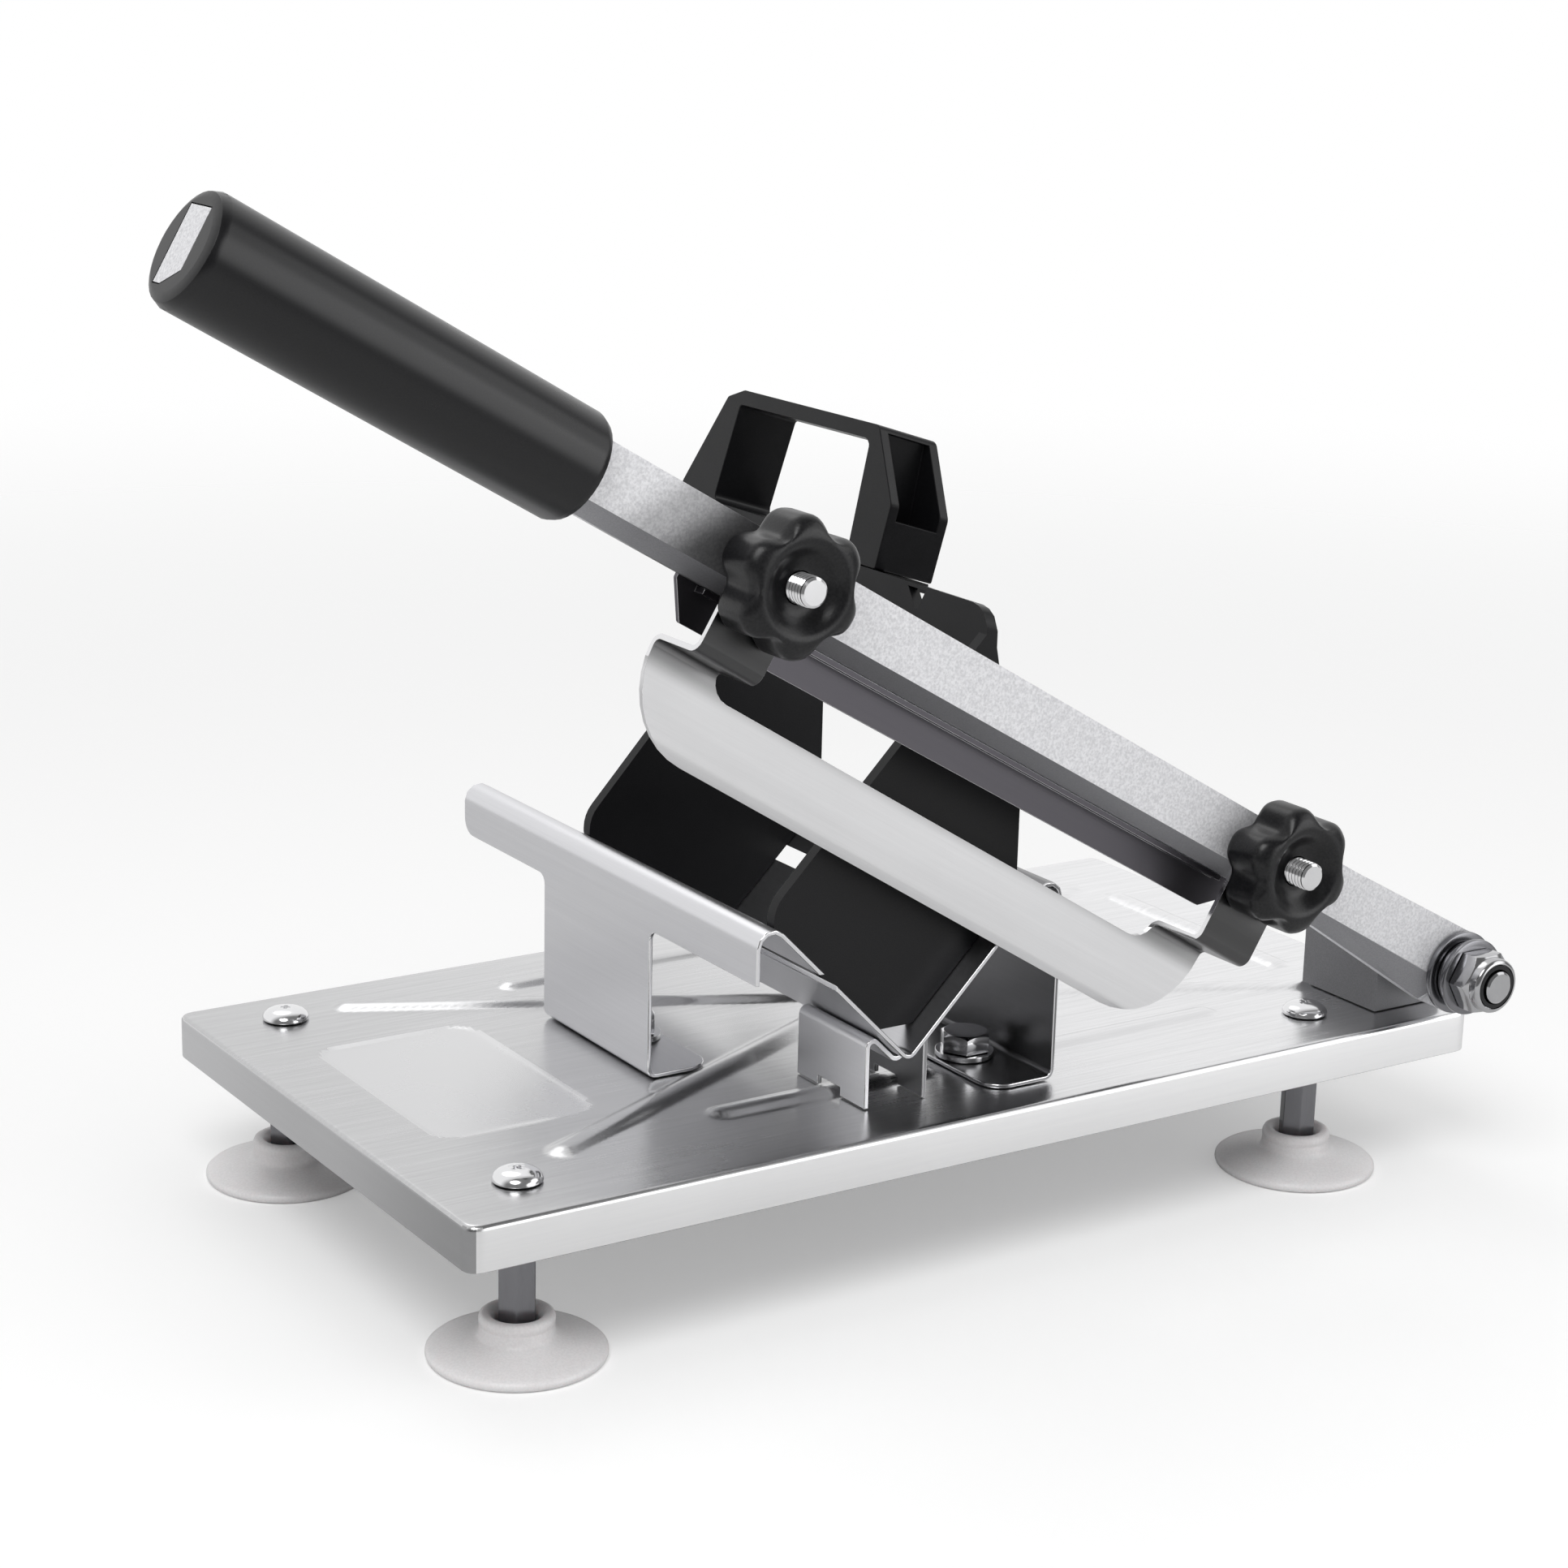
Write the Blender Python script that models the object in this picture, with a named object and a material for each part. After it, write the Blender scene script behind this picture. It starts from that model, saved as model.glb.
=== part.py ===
"""Frozen meat slicer: a swinging blade arm over a folded V trough on a pressed steel base.

Base coordinates, in millimetres: X runs along the long side from the grip end to the pivot end,
Y runs from the front edge to the back edge, Z is up from the top face of the base.
The finished object stands on its suction cups, with the middle of its bounding box over the origin.
"""
import math

import bmesh
import bpy
from mathutils import Matrix, Vector

MM = 0.001
SEAT_GAP = 0.3            # air left between touching pieces
ROUNDING_SHARE = 0.78     # part of a side that one corner's rounding may take
RUN_CLEARANCE = 0.15      # radial clearance of a shaft that turns in its bore
HOLE_CLEARANCE = 0.3      # radial clearance of a screw or stud in its hole

# base: a tray pressed from sheet, open below
BASE_LENGTH = 340.0
BASE_DEPTH = 184.0
BASE_SKIRT = 12.8
BASE_SHEET = 1.5
BASE_CORNER = 4.0
BASE_EDGE_RADIUS = 1.6
RIB_WIDTH = 8.0
RIB_HEIGHT = 1.6
RIB_START = 0.135         # left ends of the crossed ribs, as a share of the base's length
RIB_END = 0.906           # right ends of the crossed ribs, as a share of the base's length
RIB_FRONT_INSET = 34.5    # front ends of the crossed ribs from the front edge
RIB_BACK_INSET = 19.0     # back ends of the crossed ribs from the back edge
LONG_RIB_FRONT = 37.0     # front straight rib from the front edge
LONG_RIB_BACK = 25.0      # back straight rib from the back edge
LONG_RIB_START = 0.285    # ends of the straight ribs, as shares of the base's length
LONG_RIB_END = 0.782
END_RIB_INSET = 24.0      # rib across the right end, from the right edge
END_RIB_START = 62.0
END_RIB_END = 141.0
PANEL_INSET = 20.0        # shallow recess at the left end
PANEL_WIDTH = 50.0
PANEL_LENGTH = 80.0
PANEL_START = 56.0
PANEL_DEPTH = 0.5
PANEL_RADIUS = 8.0

# feet
FOOT_LEFT_INSET = 25.5
FOOT_RIGHT_INSET = 47.0
FOOT_FRONT_INSET = 22.0
FOOT_BACK_INSET = 20.0
STAND_HEIGHT = 48.5       # top face of the base above the surface it stands on
CUP_RADIUS = 24.0
CUP_LIP = 2.4
CUP_HEIGHT = 6.0          # where the cup meets its hub
HUB_RADIUS = 10.1
HUB_HEIGHT = 12.2
HUB_MOUTH = 7.6
POST_FLATS = 9.5
POST_SINK = 6.4           # depth of the post in the cup's hub
FOOT_SCREW_RADIUS = 2.5
FOOT_SCREW_LENGTH = 14.0
SCREW_HEAD_RADIUS = 6.8
SCREW_HEAD_HEIGHT = 3.4

# trough: one folded sheet
TROUGH_SHEET = 1.2
TROUGH_CENTRE_X = BASE_LENGTH * 0.417
TROUGH_FRONT = 13.4       # front end from the base's front edge
TROUGH_LENGTH = 165.0
TROUGH_APEX_HEIGHT = 15.6
TROUGH_HALF_WIDTH = 50.2  # centre line to the outer face of a side flange
FOLD_RADIUS = 4.3
APEX_RADIUS = 2.4
FOOT_BEND_RADIUS = 2.4
FLANGE_LOWER = 44.0       # height of the flange's lower edge
LEG_WIDTH = 60.0
LEFT_LEG_START = 68.4
FOOT_FLANGE_WIDTH = 21.5
LEG_FILLET = 3.0
FLANGE_CORNER = 5.0
FOOT_CORNER = 7.0
TROUGH_BOLT_RADIUS = 4.0
TROUGH_BOLT_FLATS = 13.0
TROUGH_BOLT_HEAD = 5.3
TROUGH_WASHER_RADIUS = 8.5
TROUGH_WASHER = 1.5
TROUGH_NUT = 6.0
BOLT_FROM_LEG = 12.4      # bolt axis from the leg's outer face
RIGHT_BOLT_FROM_END = 26.0

# saddle under the front of the V
SADDLE_SHEET = 1.5
SADDLE_HALF_WIDTH = 10.4
SADDLE_FRONT = 19.4
SADDLE_LENGTH = 33.6
SADDLE_FOLD = 1.7
SADDLE_APEX = 2.2
SADDLE_NOTCH_WIDTH = 11.0
SADDLE_NOTCH_HEIGHT = 2.8

# pivot
BLOCK_WIDTH = 26.5
BLOCK_LEFT = BASE_LENGTH - BLOCK_WIDTH - 1.5
BLOCK_FRONT = 11.9
BLOCK_DEPTH = 32.5
BLOCK_HEIGHT = 26.5
BLOCK_CHAMFER = 6.0
BLOCK_SCREW_RADIUS = 3.0
BLOCK_SCREW_LENGTH = 12.0
PIVOT_X = BLOCK_LEFT + 14.4
PIVOT_HEIGHT = 16.3
PIVOT_BOLT_RADIUS = 5.0
PIVOT_BOLT_FLATS = 17.0
PIVOT_BOLT_HEAD = 6.4
SPACER_RADIUS = 9.0
WASHER_RADIUS = 12.5
WASHER_THICKNESS = 2.0
SPRING_WASHER_RADIUS = 10.0
SPRING_WASHER_THICKNESS = 2.4
OUTER_WASHER_RADIUS = 11.5
OUTER_WASHER_THICKNESS = 1.8
NUT_FLATS = 17.0
NUT_HEX_LENGTH = 6.6
NUT_COLLAR_RADIUS = 8.0
NUT_COLLAR_LENGTH = 3.0
INSERT_RADIUS = 6.6
BOLT_TIP = 1.2            # bolt standing out of the nut

# arm, drawn along its own axis: U runs from the grip to the pivot, V is square to it
ARM_ANGLE = 29.8
ARM_FRONT = -6.0          # front face of the bar from the base's front edge
ARM_THICKNESS = 10.7
ARM_TOP = 10.6            # top edge of the bar above the pivot
ARM_HEIGHT = 19.0
ARM_REACH = 457.0
ARM_CHAMFER_HEIGHT = 4.0
ARM_CHAMFER_DEPTH = 7.2
EYE_RADIUS = 12.3
EYE_LEAD = 56.0           # length over which the bar swells into the eye
GRIP_RADIUS = 14.4
GRIP_LENGTH = 113.5
GRIP_ROUND = 3.0

# studs, knobs and stop plate
LEFT_STUD_REACH = 283.9
RIGHT_STUD_REACH = 90.6
STUD_OFFSET = 0.8         # studs above the pivot's level on the arm
STUD_RADIUS = 4.0
STUD_HEAD_RADIUS = 7.5
STUD_HEAD = 2.4
STUD_TIP = 3.0            # stud standing out of the knob
KNOB_RADIUS = 18.2
KNOB_LENGTH = 15.0
KNOB_LOBES = 6
KNOB_FLUTE = 2.3
KNOB_LEFT_TURN = 4.6      # how far each knob is screwed round, in degrees
KNOB_RIGHT_TURN = -2.3
KNOB_DISH_RADIUS = 12.0
KNOB_DISH_DEPTH = 4.0
KNOB_EDGE = 3.0
STOP_SHEET = 1.5
STOP_LIP = 1.5            # ledge of the plate under the bar
STOP_TOP = 9.0
STOP_BOTTOM = -18.9
STOP_LEFT_REACH = LEFT_STUD_REACH + 17.6
STOP_RIGHT_REACH = RIGHT_STUD_REACH - 8.6
STOP_LEFT_CHAMFER = 6.5
STOP_RIGHT_CHAMFER = 14.0
STOP_CHAMFER_HEIGHT = 9.5

# blade: one joggled sheet, A runs along it from the left stud, B is square to it
BLADE_SHEET = 1.5
BLADE_TILT = 1.35
BLADE_STEP = 19.0         # strip behind the ears
EAR_WIDTH = 21.0
LEFT_EAR_TOP = 8.0
EAR_TOP_MARGIN = 8.0      # ear above the right stud
EAR_CORNER = 4.0
LEDGE_B = -24.6
BLADE_BEND = 2.6
OPENING_B = -31.4
OPENING_RADIUS = 7.0
STRIP_LEFT_B = -50.9
STRIP_RIGHT_B = -52.5
STRIP_END_RADIUS = 25.0
EDGE_GRIND = 2.6

# pusher
PUSHER_OFFSET = 26.2      # near face of the handle from the middle of the V
HANDLE_THICKNESS = 20.0
HANDLE_FALL = 6.3         # far side of the handle and its deck below the near side
PUSHER_WALL = 3.6
DECK_HEIGHT = 137.0       # top of the deck that carries the handle
DECK_THICKNESS = 3.0
FRONT_FIN_START = 21.3
REAR_FIN_START = 120.0
SPINE_HEIGHT = 24.0
SPINE_NOSE = 6.0          # rounding at the front of the spine's top edge
WINDOW_START = 29.0       # triangular window in the spine, from the front fin
WINDOW_WIDTH = 8.5
WINDOW_DROP = 6.5
WINDOW_EDGE = 1.2
FIN_SHOULDER = 56.0       # height at which the fins leave the V
FIN_NECK = 18.0           # depth of the fin's steep upper part below the deck
FIN_SLOPE = 21.0          # height over which the fin's right edge leans in to the neck
HANDLE_FRONT = 75.5
HANDLE_BACK = 186.0
HANDLE_TOP_BACK = 146.0
HANDLE_HEIGHT = 41.0
HANDLE_BULGE = 7.2
HANDLE_TOP_WALL = 4.6
HANDLE_LEG = 13.4         # front leg at its foot
HANDLE_LEG_TOP = 4.2      # front leg at the top of the opening
HANDLE_BACK_LEG = 23.5    # back leg at its foot
HANDLE_FOOT = 5.0
POCKET_WALL = 3.0         # pocket in the front leg
POCKET_START = 0.37       # its floor, as a share of the handle's height
POCKET_ROOF = 1.8
POCKET_SKIN = 2.4         # wall left between the pocket and the opening

FLOOR = -STAND_HEIGHT
FOOT_XY = [
    ("front_left", FOOT_LEFT_INSET, FOOT_FRONT_INSET),
    ("back_left", FOOT_LEFT_INSET, BASE_DEPTH - FOOT_BACK_INSET),
    ("front_right", BASE_LENGTH - FOOT_RIGHT_INSET, FOOT_FRONT_INSET),
    ("back_right", BASE_LENGTH - FOOT_RIGHT_INSET, BASE_DEPTH - FOOT_BACK_INSET),
]


def clear_scene():
    for obj in list(bpy.data.objects):
        bpy.data.objects.remove(obj, do_unlink=True)
    for mesh in list(bpy.data.meshes):
        bpy.data.meshes.remove(mesh)


def make_material(name, color, roughness, metallic):
    material = bpy.data.materials.new(name)
    material.use_nodes = True
    shader = material.node_tree.nodes["Principled BSDF"]
    shader.inputs["Base Color"].default_value = (*color, 1.0)
    shader.inputs["Roughness"].default_value = roughness
    shader.inputs["Metallic"].default_value = metallic
    return material


def arc(cx, cy, radius, start, end, steps):
    """Points of an arc, angles in degrees."""
    points = []
    for i in range(steps + 1):
        angle = math.radians(start + (end - start) * i / steps)
        points.append((cx + radius * math.cos(angle), cy + radius * math.sin(angle)))
    return points


def circle(radius, x=0.0, y=0.0, points=24):
    """Closed circle of evenly spaced points."""
    return arc(x, y, radius, 0.0, 360.0 - 360.0 / points, points - 1)


def rectangle(x0, y0, x1, y1):
    return [(x0, y0), (x1, y0), (x1, y1), (x0, y1)]


def rounded(points, radii, steps=4):
    """Closed outline with each corner rounded; radii and steps may be given corner by corner."""
    outline = []
    count = len(points)
    for i in range(count):
        corner = Vector(points[i])
        before = Vector(points[i - 1])
        after = Vector(points[(i + 1) % count])
        radius = radii[i] if isinstance(radii, list) else radii
        count_here = steps[i] if isinstance(steps, list) else steps
        outline.extend(corner_arc(before, corner, after, radius, count_here))
    return outline


def corner_arc(before, corner, after, radius, steps):
    into = (before - corner).normalized()
    out = (after - corner).normalized()
    if radius <= 0.0:
        return [tuple(corner)]
    half = into.angle(out) / 2.0
    # on a short side the rounding gives way, so that it leaves room for the next corner's
    room = min((before - corner).length, (after - corner).length) * ROUNDING_SHARE
    radius = min(radius, room * math.tan(half))
    reach = radius / math.tan(half)
    centre = corner + (into + out).normalized() * (radius / math.sin(half))
    first = corner + into * reach - centre
    last = corner + out * reach - centre
    turn = first.angle_signed(last)
    points = []
    for i in range(steps + 1):
        angle = -turn * i / steps
        spoke = Vector((first.x * math.cos(angle) - first.y * math.sin(angle),
                        first.x * math.sin(angle) + first.y * math.cos(angle)))
        points.append(tuple(centre + spoke))
    return points


def sheet_profile(path, radii, thickness, steps=5):
    """Outline of a folded sheet: its centre line, with bends, thickened to both sides."""
    line = [Vector(path[0])]
    for i in range(1, len(path) - 1):
        before, corner, after = Vector(path[i - 1]), Vector(path[i]), Vector(path[i + 1])
        line.extend(Vector(p) for p in corner_arc(before, corner, after, radii[i - 1], steps))
    line.append(Vector(path[-1]))
    left, right = [], []
    for i, point in enumerate(line):
        ahead = (line[i + 1] - point).normalized() if i + 1 < len(line) else None
        behind = (point - line[i - 1]).normalized() if i > 0 else None
        if ahead is None:
            tangent = behind
        elif behind is None:
            tangent = ahead
        else:
            tangent = (ahead + behind).normalized()
        scale = 1.0
        if ahead is not None and behind is not None:
            scale = 1.0 / max(0.5, tangent.dot(ahead))
        normal = Vector((-tangent.y, tangent.x)) * (thickness / 2.0 * scale)
        left.append(tuple(point + normal))
        right.append(tuple(point - normal))
    return left + right[::-1]


def area(outline):
    total = 0.0
    for i, (x0, y0) in enumerate(outline):
        x1, y1 = outline[(i + 1) % len(outline)]
        total += x0 * y1 - x1 * y0
    return total / 2.0


def prism(outline, start, end, axis="Z"):
    """Closed prism of an outline. The outline lies in XY for Z, in XZ for Y and in YZ for X."""
    points = list(outline)
    if area(points) < 0.0:
        points.reverse()
    mesh = bmesh.new()
    rings = []
    for level in (start, end):
        ring = []
        for a, b in points:
            if axis == "Z":
                place = (a, b, level)
            elif axis == "Y":
                place = (a, level, b)
            else:
                place = (level, a, b)
            ring.append(mesh.verts.new(Vector(place) * MM))
        rings.append(ring)
    mesh.faces.new(rings[0][::-1])
    mesh.faces.new(rings[1])
    count = len(points)
    for i in range(count):
        j = (i + 1) % count
        mesh.faces.new((rings[0][i], rings[0][j], rings[1][j], rings[1][i]))
    bmesh.ops.recalc_face_normals(mesh, faces=mesh.faces[:])
    return mesh


def turned(profile, segments, axis="Z", centre=(0.0, 0.0, 0.0)):
    """Solid turned from (radius, height) points, closed where the profile meets the axis."""
    mesh = bmesh.new()
    rings = []
    for radius, height in profile:
        if radius <= 1e-6:
            rings.append([mesh.verts.new((0.0, 0.0, height * MM))])
            continue
        ring = []
        for i in range(segments):
            angle = 2.0 * math.pi * i / segments
            spot = Vector((radius * math.cos(angle), radius * math.sin(angle), height))
            ring.append(mesh.verts.new(spot * MM))
        rings.append(ring)
    open_ends = len(rings[0]) > 1
    pairs = list(zip(rings, rings[1:]))
    if open_ends:
        pairs.append((rings[-1], rings[0]))
    for low, high in pairs:
        for i in range(segments):
            j = (i + 1) % segments
            corners = [low[i % len(low)], low[j % len(low)], high[j % len(high)], high[i % len(high)]]
            unique = list(dict.fromkeys(corners))
            if len(unique) > 2:
                mesh.faces.new(unique)
    if axis == "Y":
        bmesh.ops.rotate(mesh, verts=mesh.verts[:], matrix=Matrix.Rotation(math.radians(90.0), 3, "X"))
    bmesh.ops.translate(mesh, verts=mesh.verts[:], vec=Vector(centre) * MM)
    bmesh.ops.recalc_face_normals(mesh, faces=mesh.faces[:])
    return mesh


def ring_profile(inner, outer, low, high, edge=0.0):
    """Section of a washer or tube, with its outer edges broken by a small chamfer."""
    if edge > 0.0:
        return [(inner, low), (outer - edge, low), (outer, low + edge),
                (outer, high - edge), (outer - edge, high), (inner, high)]
    return [(inner, low), (outer, low), (outer, high), (inner, high)]


def hexagon(flats):
    return circle(flats / 2.0 / math.cos(math.radians(30.0)), points=6)


def shifted(outline, dx, dy):
    return [(x + dx, y + dy) for x, y in outline]


def joined(*meshes):
    """Several closed bodies in one mesh."""
    result = bmesh.new()
    for mesh in meshes:
        data = bpy.data.meshes.new("piece")
        mesh.to_mesh(data)
        mesh.free()
        result.from_mesh(data)
        bpy.data.meshes.remove(data)
    return result


def mesh_data(name, mesh, smooth):
    data = bpy.data.meshes.new(name)
    mesh.to_mesh(data)
    mesh.free()
    if smooth:
        data.shade_smooth()
        data.set_sharp_from_angle(angle=math.radians(smooth))
    return data


def place(name, mesh, material, parent, location=(0.0, 0.0, 0.0), rotation=(0.0, 0.0, 0.0), smooth=35.0):
    """Object from a fresh mesh, or from mesh data that its copies share."""
    data = mesh if isinstance(mesh, bpy.types.Mesh) else mesh_data(name, mesh, smooth)
    obj = bpy.data.objects.new(name, data)
    bpy.context.scene.collection.objects.link(obj)
    if material and not data.materials:
        data.materials.append(material)
    obj.parent = parent
    obj.location = Vector(location) * MM
    obj.rotation_euler = rotation
    return obj


def cutter(name, mesh, parent, location=(0.0, 0.0, 0.0), rotation=(0.0, 0.0, 0.0)):
    obj = place(name, mesh, None, parent, location, rotation, smooth=0.0)
    obj.hide_render = True
    obj.display_type = "WIRE"
    return obj


def boolean(obj, tool, operation="DIFFERENCE"):
    modifier = obj.modifiers.new(operation.title() + " " + tool.name, "BOOLEAN")
    modifier.operation = operation
    modifier.solver = "EXACT"
    modifier.object = tool
    return modifier


def empty(name, parent=None, location=(0.0, 0.0, 0.0), rotation=(0.0, 0.0, 0.0)):
    obj = bpy.data.objects.new(name, None)
    bpy.context.scene.collection.objects.link(obj)
    obj.parent = parent
    obj.location = Vector(location) * MM
    obj.rotation_euler = rotation
    return obj


def rib_outline(start, end, width):
    """Long outline with round ends."""
    first, last = Vector(start), Vector(end)
    heading = math.degrees(math.atan2(last.y - first.y, last.x - first.x))
    radius = width / 2.0
    return (arc(last.x, last.y, radius, heading - 90.0, heading + 90.0, 5)
            + arc(first.x, first.y, radius, heading + 90.0, heading + 270.0, 5))


def pressed_rib(start, end, width, low, rise):
    """Rib with sloping flanks: a wide foot and a narrower crown."""
    foot = rib_outline(start, end, width)
    crown = rib_outline(start, end, width - 2.0 * rise)
    mesh = bmesh.new()
    rings = []
    for outline, level in ((foot, low), (foot, 0.0), (crown, rise)):
        rings.append([mesh.verts.new(Vector((x, y, level)) * MM) for x, y in outline])
    for lower, upper in zip(rings, rings[1:]):
        for i in range(len(lower)):
            j = (i + 1) % len(lower)
            mesh.faces.new((lower[i], lower[j], upper[j], upper[i]))
    mesh.faces.new(rings[0][::-1])
    mesh.faces.new(rings[-1])
    bmesh.ops.recalc_face_normals(mesh, faces=mesh.faces[:])
    return mesh


def rib_lines():
    """Ends of the ribs pressed into the base."""
    left, right = BASE_LENGTH * RIB_START, BASE_LENGTH * RIB_END
    long_left, long_right = BASE_LENGTH * LONG_RIB_START, BASE_LENGTH * LONG_RIB_END
    front, back = RIB_FRONT_INSET, BASE_DEPTH - RIB_BACK_INSET
    long_back = BASE_DEPTH - LONG_RIB_BACK
    end_x = BASE_LENGTH - END_RIB_INSET
    foot_left = TROUGH_CENTRE_X + TROUGH_HALF_WIDTH - FOOT_FLANGE_WIDTH - RIB_WIDTH
    foot_right = TROUGH_CENTRE_X + TROUGH_HALF_WIDTH + RIB_WIDTH
    front_end = front + RIB_WIDTH
    back_end = back - RIB_WIDTH
    return [
        ((left, front), (right, back_end)),
        ((left, back), (right, front_end)),
        ((long_left, LONG_RIB_FRONT), (foot_left, LONG_RIB_FRONT)),
        ((foot_right, LONG_RIB_FRONT), (long_right, LONG_RIB_FRONT)),
        ((long_left, long_back), (long_right, long_back)),
        ((end_x, END_RIB_START), (end_x, END_RIB_END)),
    ]


def trough_bolt_places():
    """Bolt axes in the two feet of the trough."""
    left_x = TROUGH_CENTRE_X - TROUGH_HALF_WIDTH + BOLT_FROM_LEG
    right_x = TROUGH_CENTRE_X + TROUGH_HALF_WIDTH - BOLT_FROM_LEG
    return [(left_x, LEFT_LEG_START + LEG_WIDTH / 2.0), (right_x, TROUGH_FRONT + RIGHT_BOLT_FROM_END)]


def block_screw_places():
    x = BLOCK_LEFT + BLOCK_WIDTH / 2.0
    return [(x, BLOCK_FRONT + BLOCK_DEPTH * 0.25), (x, BLOCK_FRONT + BLOCK_DEPTH * 0.75)]


def build_base(frame, steel):
    outline = rounded(rectangle(0.0, 0.0, BASE_LENGTH, BASE_DEPTH), BASE_CORNER, 4)
    inner = rounded(rectangle(BASE_SHEET, BASE_SHEET, BASE_LENGTH - BASE_SHEET, BASE_DEPTH - BASE_SHEET),
                    BASE_CORNER - BASE_SHEET, 4)
    rounds = []
    for i in range(4):
        angle = math.radians(90.0 * i / 3)
        inset = BASE_EDGE_RADIUS * (1.0 - math.cos(angle))
        rounds.append((inset, BASE_EDGE_RADIUS * (math.sin(angle) - 1.0)))
    centre = Vector((BASE_LENGTH / 2.0, BASE_DEPTH / 2.0))
    mesh = bmesh.new()

    def ring(points, level, inset):
        verts = []
        for x, y in points:
            dx = math.copysign(inset, x - centre.x)
            dy = math.copysign(inset, y - centre.y)
            verts.append(mesh.verts.new(Vector((x - dx, y - dy, level)) * MM))
        return verts

    rings = [ring(outline, -BASE_SKIRT, 0.0)]
    rings += [ring(outline, level, inset) for inset, level in rounds]
    inner_top = ring(inner, -BASE_SHEET, 0.0)
    inner_low = ring(inner, -BASE_SKIRT, 0.0)
    count = len(outline)
    for lower, upper in list(zip(rings, rings[1:])) + [(inner_top, inner_low), (inner_low, rings[0])]:
        for i in range(count):
            j = (i + 1) % count
            mesh.faces.new((lower[i], lower[j], upper[j], upper[i]))
    mesh.faces.new(rings[-1])
    mesh.faces.new(inner_top[::-1])
    bmesh.ops.recalc_face_normals(mesh, faces=mesh.faces[:])
    base = place("base_plate", mesh, steel, frame)

    for number, (start, end) in enumerate(rib_lines()):
        rib = pressed_rib(start, end, RIB_WIDTH, -BASE_SHEET / 2.0, RIB_HEIGHT)
        boolean(base, cutter("rib_tool_%d" % number, rib, frame), "UNION")
    panel = rounded(rectangle(PANEL_INSET, PANEL_START, PANEL_INSET + PANEL_WIDTH,
                              PANEL_START + PANEL_LENGTH), PANEL_RADIUS, 4)
    holes = [prism(panel, -PANEL_DEPTH, PANEL_DEPTH)]
    through = (-BASE_SHEET * 2, BASE_SHEET)
    for _, x, y in FOOT_XY:
        holes.append(prism(circle(FOOT_SCREW_RADIUS + HOLE_CLEARANCE, x, y), *through))
    for x, y in trough_bolt_places():
        holes.append(prism(circle(TROUGH_BOLT_RADIUS + HOLE_CLEARANCE, x, y), *through))
    for x, y in block_screw_places():
        holes.append(prism(circle(BLOCK_SCREW_RADIUS + HOLE_CLEARANCE, x, y), *through))
    boolean(base, cutter("base_hole_tool", joined(*holes), frame))
    return base


def pan_head(radius, height, low):
    """Low domed head: (radius, height) points from the rim to the middle."""
    points = [(radius - 0.4, low), (radius, low + 0.5)]
    for i in range(1, 4):
        angle = math.radians(90.0 * i / 3)
        points.append((radius * math.cos(angle), low + 0.5 + (height - 0.5) * math.sin(angle)))
    points[-1] = (0.0, low + height)
    return points


def build_feet(frame, rubber, steel, bright):
    under = -BASE_SHEET
    hub_top = FLOOR + HUB_HEIGHT
    post_low = hub_top - POST_SINK
    post_corner = POST_FLATS / 2.0 / math.cos(math.radians(30.0))
    pocket = post_corner + HOLE_CLEARANCE
    r = CUP_RADIUS
    floor_of_pocket = HUB_HEIGHT - POST_SINK - SEAT_GAP
    profile = [
        (0.0, floor_of_pocket - 2.6), (r * 0.4, floor_of_pocket - 2.8), (r - 5.0, 1.5),
        (r - 2.2, 0.0), (r - 0.8, 0.0), (r, CUP_LIP * 0.45), (r - 0.5, CUP_LIP),
        (r - 4.0, CUP_LIP + 1.6), (HUB_RADIUS + 3.0, CUP_HEIGHT - 0.6),
        (HUB_RADIUS, CUP_HEIGHT), (HUB_RADIUS, HUB_HEIGHT - 1.0), (HUB_RADIUS - 1.1, HUB_HEIGHT),
        (HUB_MOUTH, HUB_HEIGHT), (pocket, HUB_HEIGHT - 2.0), (pocket, floor_of_pocket),
        (0.0, floor_of_pocket),
    ]
    screw_low = SEAT_GAP - FOOT_SCREW_LENGTH
    shaft = FOOT_SCREW_RADIUS
    bore_low = screw_low - 1.5
    head = pan_head(SCREW_HEAD_RADIUS, SCREW_HEAD_HEIGHT, SEAT_GAP)
    body = [(0.0, screw_low), (shaft - 0.6, screw_low), (shaft, screw_low + 0.6), (shaft, SEAT_GAP)]
    body += head
    cup = mesh_data("suction_cup", turned(profile, 24), 35.0)
    sleeve = hex_post(post_low, under - SEAT_GAP, shaft + HOLE_CLEARANCE, bore_low)
    post = mesh_data("foot_post", sleeve, 25.0)
    screw = mesh_data("foot_screw", turned(body, 16), 35.0)
    for name, x, y in FOOT_XY:
        place("suction_cup_" + name, cup, rubber, frame, (x, y, FLOOR))
        place("foot_post_" + name, post, steel, frame, (x, y, 0.0))
        place("foot_screw_" + name, screw, bright, frame, (x, y, 0.0))


def hex_post(low, high, bore, bore_low):
    """Hexagonal post with a blind round bore from above."""
    mesh = bmesh.new()
    outer = hexagon(POST_FLATS)
    inner = circle(bore)
    rings = {}
    for key, outline, level in (("low", outer, low), ("high", outer, high),
                                ("bore_high", inner, high), ("bore_low", inner, bore_low)):
        rings[key] = [mesh.verts.new(Vector((a, b, level)) * MM) for a, b in outline]
    bridge_loop(mesh, rings["low"], rings["high"])
    bridge_loop(mesh, rings["bore_low"], rings["bore_high"])
    mesh.faces.new(rings["low"][::-1])
    mesh.faces.new(rings["bore_low"])
    hex_between_round(mesh, rings["high"], rings["bore_high"])
    bmesh.ops.recalc_face_normals(mesh, faces=mesh.faces[:])
    return mesh


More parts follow.
